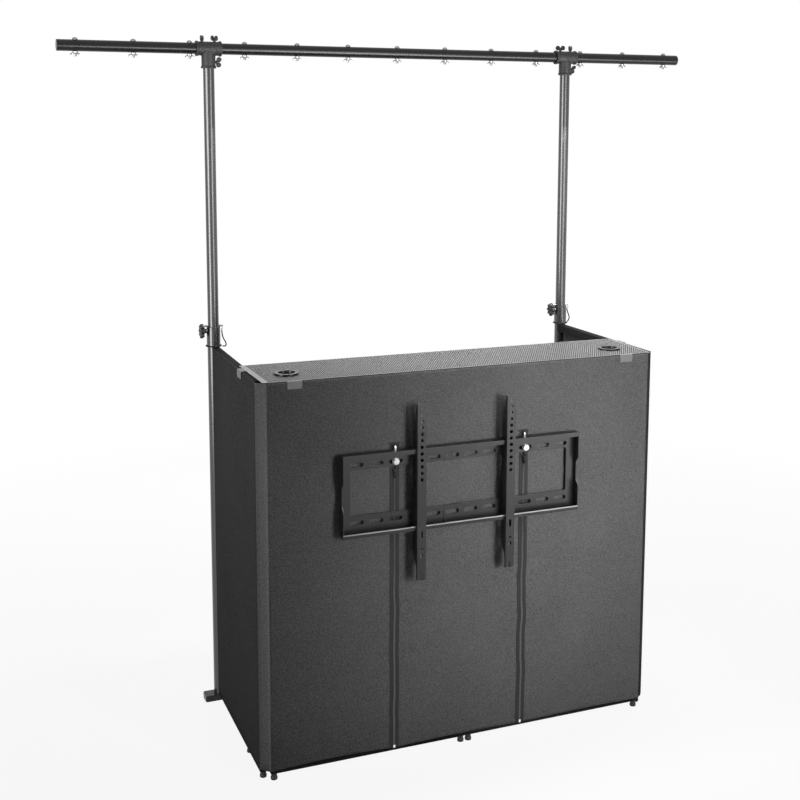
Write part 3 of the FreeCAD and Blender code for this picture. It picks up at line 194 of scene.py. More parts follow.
def knit_cloth(name, dark, light):
    """Stretch knit: fine ribs and rows, a little sheen, stitched hems."""
    finish = Finish(name, Sheen_Weight=0.02, Sheen_Roughness=0.5, Specular_IOR_Level=0.0)
    across = finish.along("X") + finish.along("Y")
    up = finish.along("Z")
    rib, row = 1.7 * MM, 1.3 * MM
    hem_up, stitch, thread = 18 * MM, 4.5 * MM, 0.5 * MM
    loops = across.wave(rib) * up.wave(row) * 0.5 + 0.5
    fine = finish.ramp(finish.noise(280, 2), (0.36, 0), (0.64, 1))
    coarse = finish.ramp(finish.noise(110, 1), (0.35, 0), (0.65, 1))
    fleck = fine * 0.85 + coarse * 0.15
    cloud = finish.noise(5, 3)
    hem = (up - (HEM + hem_up)).size().under(thread) * across.wave(stitch).under(0.4)
    tone = finish.mix(fleck * 0.7 + cloud * 0.3, grey(dark), grey(light))
    finish.feed(Base_Color=finish.mix(hem * 0.5, tone, grey(0.02)), Roughness=0.8 + fleck * 0.2)
    finish.bump(loops * 0.6 + fleck * 0.5 - hem * 0.6, 0.5, 0.4 * MM)
    return finish.material


def powder_coat(name, level, edge_tone, rough, grain=0.25, gloss=0.5, upper=False, rubbed=None):
    """Powder-coated steel: fine orange peel, soft clouds, lighter edges as wear (with upper, only the edges
    that face up, as a painted highlight), and perhaps a painted highlight line along the top edge of a lip.
    """
    finish = Finish(name, Specular_IOR_Level=gloss)
    edge_w, highlight_w, highlight_tone = 1.2 * MM, 1.5 * MM, 0.42
    peel = finish.noise(1100, 2)
    cloud = finish.noise(9, 3)
    scuff = finish.noise(60, 4, (1, 1, 0.15))
    edge = finish.edges(edge_w, upper) * (0.4 + cloud * 0.6)
    tone = finish.mix(cloud, grey(level * 0.8), grey(level * 1.25))
    # Edges take a lighter tone: wear in general; with upper, only the edges that face up, as a painted
    # highlight.
    colour = finish.mix(edge, tone, grey(edge_tone))
    # The rubbed argument paints a highlight: a light line along the top edge of a lip, where light from above
    # catches it.
    if rubbed:
        front, height = rubbed
        line = finish.along("Y").under(front) * (finish.along("Z") - height).size().under(highlight_w)
        colour = finish.mix(line * (0.7 + cloud * 0.3), colour, grey(highlight_tone))
    finish.feed(Base_Color=colour, Roughness=rough + (cloud - 0.5) * 0.1 + (scuff - 0.5) * 0.12)
    finish.bump(peel, grain, 0.12 * MM)
    return finish.material


def enamel(name, level, rough, gloss, length=(1, 1, 0.06)):
    """Gloss enamel with faint rubbed marks, drawn out along the axis with the small length."""
    finish = Finish(name, Specular_IOR_Level=gloss)
    cloud = finish.noise(14, 3)
    rubbed = finish.noise(240, 3, length)
    peel = finish.noise(260, 1)
    finish.feed(Base_Color=finish.mix(cloud, grey(level * 0.75), grey(level * 1.3)),
                Roughness=rough + (rubbed - 0.5) * 0.06 + (cloud - 0.5) * 0.04)
    finish.bump(peel, 0.002, 0.05 * MM)
    return finish.material


def plated(name, level, rough):
    """Plated metal with a faint cloudy grain in its colour, roughness and bump."""
    finish = Finish(name, Metallic=1.0)
    grain = finish.noise(700, 3)
    cloud = finish.noise(45, 2)
    finish.feed(Base_Color=finish.mix(cloud, grey(level * 0.85), grey(level * 1.1)),
                Roughness=rough + (grain - 0.5) * 0.12 + (cloud - 0.5) * 0.08)
    finish.bump(grain, 0.08, 0.08 * MM)
    return finish.material


def moulded(name, level, rough, gloss=0.3):
    """Moulded plastic with a fine spark-eroded texture and pale corners."""
    finish = Finish(name, Specular_IOR_Level=gloss)
    spark = finish.noise(1500, 2)
    cloud = finish.noise(30, 2)
    edge = finish.edges(0.7 * MM)
    tone = finish.mix(cloud, grey(level * 0.8), grey(level * 1.2))
    finish.feed(Base_Color=finish.mix(edge * 0.5, tone, grey(level * 2.2)),
                Roughness=rough + (spark - 0.5) * 0.15)
    finish.bump(spark, 0.2, 0.1 * MM)
    return finish.material


def zip_tape():
    """Woven tape with a herringbone-like twill and fine flecks."""
    finish = Finish("zip_tape", Specular_IOR_Level=0.25)
    up = finish.along("Z")
    side = finish.along("X")
    weave, dark, light = 1.1 * MM, 0.012, 0.034
    twill = (up + side).wave(weave) * (up - side).wave(weave) * 0.5 + 0.5
    fleck = finish.noise(800, 2)
    finish.feed(Base_Color=finish.mix(twill * 0.6 + fleck * 0.4, grey(dark), grey(light)),
                Roughness=0.75 + fleck * 0.2)
    finish.bump(twill + fleck * 0.5, 0.4, 0.25 * MM)
    return finish.material


def braided_cord():
    """Braided lanyard: slanted strands with a soft sheen."""
    finish = Finish("braided_cord", Specular_IOR_Level=0.1)
    up = finish.along("Z")
    side = finish.along("X") + finish.along("Y")
    braid, slant, dark, light = 1.6 * MM, 1.4, 0.008, 0.03
    strand = (up * slant + side).wave(braid) * (up * slant - side).wave(braid) * 0.5 + 0.5
    fleck = finish.noise(900, 2)
    finish.feed(Base_Color=finish.mix(strand, grey(dark), grey(light)), Roughness=0.6 + fleck * 0.3)
    finish.bump(strand + fleck * 0.3, 0.6, 0.3 * MM)
    return finish.material


def laminate():
    """Dark laminate board with a fine pore."""
    finish = Finish("board_laminate")
    dark, light, edge_tone = 0.012, 0.03, 0.06
    pore = finish.noise(900, 4, (0.12, 1, 1))
    cloud = finish.noise(6, 3)
    edge = finish.edges(1.0 * MM)
    tone = finish.mix(pore * 0.6 + cloud * 0.4, grey(dark), grey(light))
    finish.feed(Base_Color=finish.mix(edge * 0.4, tone, grey(edge_tone)), Roughness=0.45 + (pore - 0.5) * 0.25)
    finish.bump(pore, 0.15, 0.15 * MM)
    return finish.material


# The bracket lightens only its edges that face up: a painted highlight from light above.
BRACKET = {"level": 0.014, "edge_tone": 0.2, "rough": 0.3, "grain": 0.2, "gloss": 0.35, "upper": True}
FINISHES = {
    "frame": powder_coat("frame_coat", level=0.011, edge_tone=0.02, rough=0.7, gloss=0.03),
    "pole": enamel("pole_enamel", level=0.014, rough=0.23, gloss=1.0),
    "bracket": powder_coat("bracket_coat", **BRACKET),
    "fitting": powder_coat("cast_coat", level=0.04, edge_tone=0.05, rough=0.55, grain=0.15),
    "shelf": powder_coat("shelf_coat", level=0.1, edge_tone=0.15, rough=0.45, grain=0.2),
    "cloth": knit_cloth("knit_cloth", dark=0.045, light=0.125),
    "zip": zip_tape(),
    "slider": plated("gunmetal", level=0.02, rough=0.28),
    "zinc": plated("bright_zinc", level=0.3, rough=0.3),
    "steel": plated("bare_steel", level=0.45, rough=0.3),
    "plastic": moulded("black_plastic", level=0.016, rough=0.3),
    "board": laminate(),
    "cord": braided_cord(),
}
PLATE_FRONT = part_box("bracket_wall_plate")[0]
LIP_TOP, LIP_DEPTH, LIP_EDGE = 12 * MM, 3 * MM, 1.5 * MM
# The plate coat paints a highlight line along the top edge of the lower rail's lip, and a painted highlight
# on its edges that face up.
PLATE = powder_coat("plate_coat", **BRACKET,
                    rubbed=(PLATE_FRONT.y + LIP_DEPTH, PLATE_FRONT.z + LIP_TOP - LIP_EDGE))
SHEET = powder_coat("sheet_coat", level=0.17, edge_tone=0.21, rough=0.36, grain=0.2, gloss=0.4)
# The shelf's folded edges are coated dark: a painted shadow line along the gap at the shelf's edges.
FOLD_PAINTED_SHADE = powder_coat("folded_edge_painted_shade", level=0.03, edge_tone=0.05, rough=0.5, gloss=0.15)
# The hole walls and sheet edges are coated dark: partly the raw punched edge, partly painted shade inside the
# holes.
HOLE_WALL_SHADE = powder_coat("raw_edge_and_painted_shade", level=0.02, edge_tone=0.03, rough=0.6, gloss=0.2)
# One cloth in two painted coats: the left corner strip lighter as painted light, the right one darker as
# painted shade.
CORNER = {
    "left": knit_cloth("corner_strip_painted_light", dark=0.11, light=0.24),
    "right": knit_cloth("corner_strip_painted_shade", dark=0.012, light=0.03),
}
COIL = moulded("zip_coil", level=0.05, rough=0.35)
GROMMET = enamel("grommet_gloss", level=0.003, rough=0.1, gloss=0.25, length=(1, 1, 1))
STOP = plated("zip_stop", level=0.9, rough=0.3)
# The upper pulls get this brighter metal, the lower ones the slider coat: a lit copy of the same slider, as a
# painted highlight.
UPPER_PULL_HIGHLIGHT = plated("nickel_painted_highlight", level=0.5, rough=0.25)
BOLT = plated("bolt_zinc", level=0.5, rough=0.25)
SCREW = enamel("screw_enamel", level=0.02, rough=0.3, gloss=0.5)
BAR = enamel("bar_enamel", level=0.008, rough=0.26, gloss=0.35, length=(0.06, 1, 1))


def turned(outline, steps=32, ring=False):
    """A shape spun about Z from (radius, height) pairs in millimetres."""
    shape = bmesh.new()
    points = [shape.verts.new((radius * MM, 0, height * MM)) for radius, height in outline]
    ends = points[1:] + points[:1] if ring else points[1:]
    lines = [shape.edges.new(pair) for pair in zip(points, ends)]
    bmesh.ops.spin(shape, geom=points + lines, cent=(0, 0, 0), axis=(0, 0, 1), dvec=(0, 0, 0),
                   angle=math.tau, steps=steps, use_merge=True)
    bmesh.ops.remove_doubles(shape, verts=shape.verts, dist=1e-6)
    bmesh.ops.recalc_face_normals(shape, faces=shape.faces)
    return shape


def plate(points, thickness, bevel):
    """A flat outline in X and Z given thickness along Y, in millimetres, with rounded edges."""
    shape = bmesh.new()
    half = thickness / 2 * MM
    face = shape.faces.new([shape.verts.new((x * MM, -half, z * MM)) for x, z in points])
    grown = bmesh.ops.extrude_face_region(shape, geom=[face])["geom"]
    moved = [item for item in grown if isinstance(item, bmesh.types.BMVert)]
    bmesh.ops.translate(shape, verts=moved, vec=(0, 2 * half, 0))
    bmesh.ops.recalc_face_normals(shape, faces=shape.faces)
    bmesh.ops.bevel(shape, geom=shape.edges[:], offset=bevel * MM, affect="EDGES", segments=2, profile=0.5,
                    material=-1, clamp_overlap=True)
    return shape


def put(shape, place, turn=Matrix.Identity(4)):
    """Turns a shape about the origin and moves it to its place in the frame."""
    bmesh.ops.transform(shape, matrix=Matrix.Translation(place) @ turn, verts=shape.verts)
    return shape


TO_X = Matrix.Rotation(math.pi / 2, 4, "Y")
TO_MINUS_X = Matrix.Rotation(-math.pi / 2, 4, "Y")


def joined(shapes):
    """One shape from several."""
    whole = bmesh.new()
    for shape in shapes:
        scrap = bpy.data.meshes.new("scrap")
        shape.to_mesh(scrap)
        shape.free()
        whole.from_mesh(scrap)
        bpy.data.meshes.remove(scrap)
    return whole


def add(item, slot, body, nodes, coat=None):
    """Gives an object its finish, from its slot unless a coat is given, and its body, and hides the CAD nodes
    that it stands for.
    """
    item.data.materials.append(coat or FINISHES[slot])
    bpy.context.collection.objects.link(item)
    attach(item, body)
    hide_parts(*nodes)
    return item


def piece(name, shapes, slot, body, *nodes, coat=None, sharp=38):
    """An object made of one or more shapes."""
    whole = joined(shapes)
    mesh = bpy.data.meshes.new(name)
    whole.to_mesh(mesh)
    whole.free()
    mesh.shade_smooth()
    mesh.set_sharp_from_angle(angle=math.radians(sharp))
    return add(bpy.data.objects.new(name, mesh), slot, body, nodes, coat)


def spots(node):
    """The lowest and highest corner of each separate solid in a CAD node, from left to right."""
    shape = bmesh.new()
    shape.from_mesh(NODES[node].data)
    bmesh.ops.remove_doubles(shape, verts=shape.verts, dist=1e-6)
    left = set(shape.verts)
    boxes = []
    while left:
        reach = [left.pop()]
        solid = []
        while reach:
            point = reach.pop()
            solid.append(point.co.copy())
            for line in point.link_edges:
                other = line.other_vert(point)
                if other in left:
                    left.remove(other)
                    reach.append(other)
        low = Vector([min(point[i] for point in solid) for i in range(3)])
        high = Vector([max(point[i] for point in solid) for i in range(3)])
        boxes.append((low, high))
    shape.free()
    return sorted(boxes, key=lambda box: tuple(box[0]))


def soften(names, width, segments=2):
    """Rounds the edges of CAD nodes that stay, and shades their curves smooth."""
    for name in names:
        item = NODES[name]
        item.data.shade_smooth()
        item.modifiers.new("weld", "WELD").merge_threshold = 0.01 * MM
        flat = item.modifiers.new("flat_faces", "DECIMATE")
        flat.decimate_type = "DISSOLVE"
        flat.angle_limit = math.radians(1)
        rounded = item.modifiers.new("edges", "BEVEL")
        rounded.width = width * MM
        rounded.segments = segments
        rounded.limit_method = "ANGLE"
        rounded.angle_limit = math.radians(35)
        item.modifiers.new("normals", "WEIGHTED_NORMAL").keep_sharp = False


def lanyards():
    """The cords from the pull rings back to the collars, and the loops that they are tied to."""
    routes = {
        "left": [(25.0, -14.9), (25.6, -26), (28.4, -38), (34.5, -48.5), (38.5, -58), (34.5, -65),
                 (26.6, -62.5)],
        "right": [(25.0, -14.9), (27.2, -25), (32.0, -35), (34.8, -45), (32.0, -54), (26.4, -59.4)],
    }
    thick = 0.0036
    loop_r, cord_r, facets = 22.0, thick / 2 / MM, 14
    turns = [math.tau * i / facets for i in range(facets)]
    ring = [(loop_r + cord_r * math.cos(a), cord_r * math.sin(a)) for a in turns]
    loops = []
    for side, sign in SIDES:
        points = [Vector((sign * POST_X + x * MM, POST_Y, PIN_Z + z * MM)) for x, z in routes[side]]
        curve = bpy.data.curves.new(f"{side}_lanyard_cord", "CURVE")
        curve.dimensions = "3D"
        curve.bevel_depth = thick / 2
        curve.bevel_resolution = 4
        curve.use_fill_caps = True
        line = curve.splines.new("NURBS")
        line.points.add(len(points) - 1)
        for knot, point in zip(line.points, points):
            knot.co = (*point, 1)
        line.order_u = 3
        line.use_endpoint_u = True
        line.resolution_u = 16
        item = bpy.data.objects.new(f"{side}_lanyard_cord", curve)
        add(item, "cord", f"{side}_lock_pin", [f"{side}_lanyard"])
        loops.append(put(turned(ring, 56, ring=True), (sign * POST_X, POST_Y, LOOP_Z)))
    piece("collar_loops", loops, "cord", "booth", "lanyard_loops")


def ease(value, low, high):
    """0 below low, 1 above high, smooth between."""
    share = min(max((value - low) / (high - low), 0), 1)
    return share * share * (3 - 2 * share)


def zip_gap(z):
    """Half the opening in the cloth along a zip: narrow, spread round the bolt, closed above the zip."""
    narrow, spread, reach = 0.003, 0.007, 0.019
    if z > ZIP_TOP - MM:
        return 0
    return narrow + spread * math.exp(-((z - BOLT_Z) / reach) ** 2)


def slack(z):
    """How loose the front cloth is at a height: taut at the hem and from the bracket up."""
    return ease(z, 0.085, 0.14) * (1 - ease(z, 0.5, 0.66))


def zip_wave(side, z):
    """How far a zip wanders sideways where the cloth is slack."""
    amount, start = {"left": (0.0008, 0.4), "right": (0.0014, 2.1)}[side]
    long_wave, short_wave, short_share = 0.19, 0.083, 0.4
    bends = math.sin(z * math.tau / long_wave + start) + short_share * math.sin(z * math.tau / short_wave)
    return amount * slack(z) * bends


def ripple(x, z):
    """How far the front cloth stands out in front of its flat place, beside the zips."""
    reach, amount, wave, slant = 0.05, 0.0006, 0.12, 9
    near = sum(math.exp(-((x - middle) / reach) ** 2) for middle in ZIP_X.values())
    return amount * near * slack(z) * (1 + math.sin(z * math.tau / wave + slant * x))


def between(low, high, share):
    return low + (high - low) * share


def leaned(sign, x, y):
    """A point of a side wing, turned inwards about its corner hinge."""
    angle = sign * math.atan(WING_LEAN / (POST_Y - HINGE_Y))
    dx, dy = sign * (x - HINGE_X), y - HINGE_Y
    return (sign * HINGE_X + dx * math.cos(angle) - dy * math.sin(angle),
            HINGE_Y + dx * math.sin(angle) + dy * math.cos(angle))


def grid(columns, rows, place):
    """A grid whose points place(across, up) puts in the frame, both from 0 to 1."""
    shape = bmesh.new()
    bmesh.ops.create_grid(shape, x_segments=columns, y_segments=rows, size=0.5)
    for point in shape.verts:
        point.co = place(point.co.x + 0.5, point.co.y + 0.5)
    return shape


def thicken(item, thickness):
    """Gives a sheet its thickness, behind its outer face, and returns it."""
    wall = item.modifiers.new("thickness", "SOLIDIFY")
    wall.thickness = thickness
    wall.offset = -1
    return item


def cloth():
    """The stretched cloth: front with two zip slits, both sides, and the slanted corner strips."""
    tall = CLOTH_TOP - HEM
    bounds = {
        "left": (lambda z: -PANEL_OUT, lambda z: ZIP_X["left"] + zip_wave("left", z) - zip_gap(z)),
        "middle": (lambda z: ZIP_X["left"] + zip_wave("left", z) + zip_gap(z),
                   lambda z: ZIP_X["right"] + zip_wave("right", z) - zip_gap(z)),
        "right": (lambda z: ZIP_X["right"] + zip_wave("right", z) + zip_gap(z), lambda z: PANEL_OUT),
    }
    hem_rise = {"left": 0.006, "middle": 0.003, "right": 0.003}
    panels = []
    for name, (low, high) in bounds.items():
        def place(across, up):
            z = between(HEM + hem_rise[name] * math.sin(math.pi * across), CLOTH_TOP, up)
            x = between(low(z), high(z), across)
            return Vector((x, FACE - ripple(x, z), z))
        panels.append(grid(48, 107, place))
    whole = joined(panels)
    bmesh.ops.remove_doubles(whole, verts=whole.verts, dist=0.01 * MM)
    item = thicken(piece("front_cloth_panel", [whole], "cloth", "booth", "front_cloth"), MM)
    for side, sign in SIDES:
        def side_place(across, up):
            y = between(WING_FRONT, WING_BACK, across if sign > 0 else 1 - across)
            return Vector((*leaned(sign, WING_OUT, y), HEM + tall * up))
        item = piece(f"{side}_side_cloth_panel", [grid(24, 50, side_place)], "cloth", "booth",
                     f"{side}_side_cloth")
        thicken(item, MM)
        start = Vector((sign * PANEL_OUT, FACE))
        end = Vector(leaned(sign, WING_OUT, WING_FRONT))

        def corner_place(across, up):
            spot = start.lerp(end, across if sign > 0 else 1 - across)
            return Vector((*spot, HEM + tall * up))
        # Each corner strip takes its side's coat, lighter or darker as painted light and shade.
        item = piece(f"{side}_corner_cloth", [grid(3, 50, corner_place)], "cloth", "booth", "corner_strips",
                     coat=CORNER[side])
        thicken(item, MM)


def zip_teeth(side):
    """The coil of a zip: closed below the lower slider, parted round the bolt, closed at the upper slider."""
    low, closed, top, pitch = 0.0372, 0.8235, 0.886, 2.0 * MM
    parting, rejoin, shut = 0.02, 0.867, 0.878
    tooth, bevel, out = Vector((2.9, 1.6, 1.5)) * MM, 0.35 * MM, 1.1 * MM
    shut_beside, parted_past = 1.05 * MM, 0.4 * MM
    teeth = []
    for hand in (-1, 1):
        first = bmesh.new()
        bmesh.ops.create_cube(first, size=1)
        bmesh.ops.scale(first, vec=tooth, verts=first.verts)
        ridges = [line for line in first.edges if abs(line.verts[0].co.y - line.verts[1].co.y) < 1e-7]
        bmesh.ops.bevel(first, geom=ridges, offset=bevel, affect="EDGES", segments=1, profile=0.5,
                        material=-1)
        bmesh.ops.translate(first, vec=(0, FACE - out, 0), verts=first.verts)
        corners = first.verts[:]
        model = corners + first.edges[:] + first.faces[:]
        z = low + (0 if hand < 0 else pitch / 2)
        while z < top:
            parted = ease(z, closed, closed + parting) - ease(z, rejoin, shut)
            beside = between(shut_beside, zip_gap(z) + parted_past, parted)
            copied = bmesh.ops.duplicate(first, geom=model)["geom"]
            points = [item for item in copied if isinstance(item, bmesh.types.BMVert)]
            x = ZIP_X[side] + zip_wave(side, z) + hand * beside
            bmesh.ops.translate(first, vec=(x, -ripple(x, z), z), verts=points)
            z += pitch
        bmesh.ops.delete(first, geom=corners, context="VERTS")
        teeth.append(first)
    return teeth


def zips():
    """The zips' tapes, coils and end stops."""
    tape_w, tape_out, tape_t = 14 * MM, 0.8 * MM, 0.7 * MM
    coil_room, under_coil = 2.6 * MM, 0.4 * MM
    stop_outline, stop_t, stop_bevel = [(-3, 0.3), (3, 0.3), (3, 8), (-3, 8)], 3, 0.7
    stop_out = stop_t / 2 * MM
    for side, middle in ZIP_X.items():
        tapes = []
        for hand in (-1, 1):
            def place(across, up):
                z = between(HEM, ZIP_TOP, up)
                inner = max(zip_gap(z), coil_room) - under_coil
                share = across if hand > 0 else 1 - across
                x = middle + zip_wave(side, z) + hand * between(inner, tape_w, share)
                return Vector((x, FACE - tape_out - ripple(x, z), z))
            tapes.append(grid(5, 110, place))
        item = piece(f"{side}_zip_tapes", tapes, "zip", "booth", f"{side}_zip")
        thicken(item, tape_t)
        piece(f"{side}_zip_coil", zip_teeth(side), "zip", "booth", f"{side}_zip", coat=COIL)
        stop = plate(stop_outline, stop_t, stop_bevel)
        put(stop, (middle, FACE - stop_out, HEM))
        piece(f"{side}_zip_stop", [stop], "zip", "booth", f"{side}_zip", coat=STOP)


def sliders():
    """Zip sliders: a waisted body over the coil, side flanges, a bridge and a hanging pull."""
    body = [(-6, 7), (-6, 1.5), (-4, -7), (4, -7), (6, 1.5), (6, 7), (3, 7), (0, 4.6), (-3, 7)]
    flange = [(-1.6, -6), (0.2, -6), (1.5, 1), (1.5, 6), (-1.6, 6)]
    pull = [(-2.4, 3.4), (-3.5, 1.4), (-3.5, -17), (-2.2, -19), (2.2, -19), (3.5, -17), (3.5, 1.4),
            (2.4, 3.4)]
    bridge = [(-1.3, -5), (1.3, -5), (1.3, 5), (-1.3, 5)]
    body_top, flange_x = 7 * MM, 4.4 * MM
    flange_out, body_out, pull_out, bridge_out = 1.8 * MM, 4.1 * MM, 6.8 * MM, 6.2 * MM
    for side, middle in ZIP_X.items():
        for word in ("upper", "lower"):
            name = f"{side}_{word}_slider"
            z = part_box(name)[1].z - body_top
            flanges = []
            for hand in (-1, 1):
                outline = [(hand * across, up) for across, up in flange]
                spot = (middle + hand * flange_x, FACE - flange_out, z)
                flanges.append(put(plate(outline, 1.3, 0.3), spot))
            top = put(plate(body, 3.4, 0.9), (middle, FACE - body_out, z))
            piece(f"{name}_body", [top, *flanges], "slider", name, name)
            hung = put(plate(pull, 1.3, 0.4), (middle, FACE - pull_out, z))
            arch = put(plate(bridge, 1.6, 0.6), (middle, FACE - bridge_out, z))
            # Upper pulls take the brighter metal as a painted highlight; lower pulls keep the slider coat.
            piece(f"{name}_pull", [hung, arch], "slider", name, name,
                  coat=UPPER_PULL_HIGHLIGHT if word == "upper" else None)


def perforated_shelf():
    """The shelf: a sheet in two halves with staggered holes and two grommet holes, and its folded edges."""
    low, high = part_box("shelf_panel")
    pitch, hole_r, sides = 7 * MM, 3 * MM, 6
    row_step, cell_r = pitch * math.cos(math.pi / sides), pitch / 2 / math.cos(math.pi / sides)
    columns, rows, left_margin = 164, 39, 14.5 * MM
    clear, ring_hole, sheet_t = 33 * MM, 28.3 * MM, 1.9 * MM
    middle_y = (low.y + high.y) / 2
    shape = bmesh.new()
    outside = shape.verts.layers.int.new("outside")
    bmesh.ops.create_circle(shape, segments=sides, radius=hole_r)
    for point in bmesh.ops.create_circle(shape, segments=sides, radius=cell_r)["verts"]:
        point[outside] = 1
    bmesh.ops.bridge_loops(shape, edges=shape.edges[:])
    start = Vector((low.x + left_margin + pitch / 2, middle_y - (rows - 1) * row_step / 2, high.z))
    bmesh.ops.translate(shape, vec=start, verts=shape.verts)

    def repeat(count, step):
        model = shape.verts[:] + shape.edges[:] + shape.faces[:]
        for i in range(1, count):
            copied = bmesh.ops.duplicate(shape, geom=model)["geom"]
            points = [item for item in copied if isinstance(item, bmesh.types.BMVert)]
            bmesh.ops.translate(shape, vec=step(i), verts=points)

    repeat(columns, lambda i: (i * pitch, 0, 0))
    repeat(rows, lambda i: (i % 2 * pitch / 2, i * row_step, 0))
    bmesh.ops.remove_doubles(shape, verts=shape.verts, dist=0.02 * MM)
    boxes = [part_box(node) for node in ("left_cable_grommet", "right_cable_grommet")]
    grommets = [(box[0] + box[1]) / 2 for box in boxes]

    def cell_middle(face):
        """The middle of the hole that a face lies beside."""
        spot = face.calc_center_median() - start
        row = round(spot.y / row_step)
        shift = row % 2 * pitch / 2
        return start + Vector((round((spot.x - shift) / pitch) * pitch + shift, row * row_step, 0))

    taken = [face for face in shape.faces
             if any((cell_middle(face) - spot).xy.length < clear for spot in grommets)]
    bmesh.ops.delete(shape, geom=taken, context="FACES")

    def fill(shape_edges):
        bmesh.ops.triangle_fill(shape, use_beauty=True, edges=shape_edges, normal=(0, 0, 1))

    rim = [line for line in shape.edges if line.is_boundary and all(point[outside] for point in line.verts)]
    near = {spot.x: [line for line in rim if (line.verts[0].co - spot).xy.length < clear + pitch]
            for spot in grommets}
    border = [line for line in rim if not any(line in lines for lines in near.values())]
    corners = [shape.verts.new((x, y, high.z)) for x, y in
               ((low.x, low.y), (high.x, low.y), (high.x, high.y), (low.x, high.y))]
    border += [shape.edges.new(pair) for pair in zip(corners, corners[1:] + corners[:1])]
    fill(border)
    for spot in grommets:
        ring = bmesh.ops.create_circle(shape, segments=48, radius=ring_hole,
                                       matrix=Matrix.Translation((spot.x, spot.y, high.z)))["verts"]
        lines = {line for point in ring for line in point.link_edges}
        fill(near[spot.x] + list(lines))
    for face in shape.faces:
        if face.normal.z < 0:
            face.normal_flip()
    for side, sign in SIDES:
        half = shape.copy()
        others = [face for face in half.faces if sign * face.calc_center_median().x < 0]
        bmesh.ops.delete(half, geom=others, context="FACES")
        item = piece(f"{side}_shelf_half", [half], "shelf", "shelf", "shelf_panel", coat=SHEET, sharp=20)
        # The rims of the thickened sheet take the dark hole-wall coat: painted shade in the holes, together
        # with the raw punched edge.
        item.data.materials.append(HOLE_WALL_SHADE)
        item.data.shade_flat()
        thicken(item, sheet_t).modifiers["thickness"].material_offset_rim = 1
    shape.free()
    folded_edges(low, high)


def folded_edges(low, high):
    """The shelf's turned-down rear lip, and its front edge and ends under the sheet, coated dark as a painted
    shadow line along the shelf's edges.
    """
    lip_x, lip_h, wall, top, bevel = 554.7, 15, 2, 0.05, 0.5

    def strip(half, deep):
        return plate([(-half, -deep), (half, -deep), (half, -top), (-half, -top)], wall, bevel)

    edge_x, span = high.x / MM, (high.y - low.y) / MM / 2
    inset = wall / 2 * MM
    quarter = Matrix.Rotation(math.pi / 2, 4, "Z")
    strips = [put(strip(lip_x, lip_h), (0, high.y - inset, SHELF_TOP)),
              put(strip(edge_x, wall), (0, low.y + inset, SHELF_TOP))]
    for sign in (-1, 1):
        spot = (sign * (high.x - inset), (low.y + high.y) / 2, SHELF_TOP)
        strips.append(put(strip(span, wall), spot, quarter))
    piece("shelf_folded_edges", strips, "shelf", "shelf", "shelf_panel", coat=FOLD_PAINTED_SHADE)


def cable_grommets():
    """Round cable grommets with a raised rim, flat on top."""
    outline = [(23, -14), (26.5, -14), (28, -12.5), (28, 0.1), (33.4, 0.1), (33.4, 4.6), (33.1, 5.2),
               (32.5, 5.4), (24.2, 5.4), (23.4, 5.0), (23, 4.2)]
    for side in ("left", "right"):
        low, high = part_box(f"{side}_cable_grommet")
        spot = ((low.x + high.x) / 2, (low.y + high.y) / 2, SHELF_TOP)
        piece(f"{side}_grommet_ring", [put(turned(outline, 64, ring=True), spot)], "plastic", "shelf",
              f"{side}_cable_grommet", coat=GROMMET)


def collars():
    """Clamp collars: a sleeve with a groove near its top and a threaded boss."""
    sleeve = [(18.3, 0), (19.4, 0), (19.9, 0.5), (19.9, 56.2), (19.4, 56.6), (19.4, 57.4), (19.9, 57.8),
              (19.9, 59.4), (19.3, 60), (16.3, 60), (16.3, 14.3), (18.3, 14.3)]
    boss = [(4.3, -1.5), (7, -1.5), (7, 4.4), (6.4, 5), (4.3, 5)]
    boss_out = 19.9 * MM
    for side, sign in SIDES:
        x = sign * POST_X
        shapes = [put(turned(sleeve, 48, ring=True), (x, POST_Y, COLLAR_Z)),
                  put(turned(boss, 28, ring=True), (x - boss_out, POST_Y, KNOB_Z), TO_MINUS_X)]
        piece(f"{side}_clamp_collar", shapes, "pole", "booth", f"{side}_collar")


def clamp_knobs():
    """Eight-lobed clamp knobs with a recessed face, on a screw through the collar."""
    lobes, body_r, lobe_h, thick = 8, 18.6, 2.9, 11
    seat_out, neck, rounding, flat_rim, wall, recess = 25.2, 4, 2.6, 4, 0.8, 1
    screw = [(0, -8.9), (3.6, -8.9), (4, -8.4), (4, 0), (7.4, 0), (8, 0.6), (8, 4.4), (0, 4.4)]
    for side, sign in SIDES:
        seat = sign * POST_X - seat_out * MM
        head = bmesh.new()
        bmesh.ops.create_cone(head, cap_ends=True, segments=96, radius1=body_r * MM, radius2=body_r * MM,
                              depth=thick * MM)
        for point in head.verts:
            turn = math.atan2(point.co.y, point.co.x)
            point.co.xy *= 1 + lobe_h / body_r * math.cos(lobes * turn)
        caps = [face for face in head.faces if len(face.verts) > 4]
        rims = {line for face in caps for line in face.edges}
        bmesh.ops.bevel(head, geom=list(rims), offset=rounding * MM, affect="EDGES", segments=4, profile=0.5,
                        material=-1)
        caps = [face for face in head.faces if len(face.verts) > 4]
        front = max(caps, key=lambda face: face.calc_center_median().z)
        bmesh.ops.inset_region(head, faces=[front], thickness=flat_rim * MM)
        bmesh.ops.inset_region(head, faces=[front], thickness=wall * MM, depth=-recess * MM)
        put(head, (seat - (neck + thick / 2) * MM, POST_Y, KNOB_Z), TO_MINUS_X)
        stem = put(turned(screw, 32), (seat, POST_Y, KNOB_Z), TO_MINUS_X)
        piece(f"{side}_lobed_knob", [head, stem], "plastic", f"{side}_clamp_knob", f"{side}_clamp_knob")


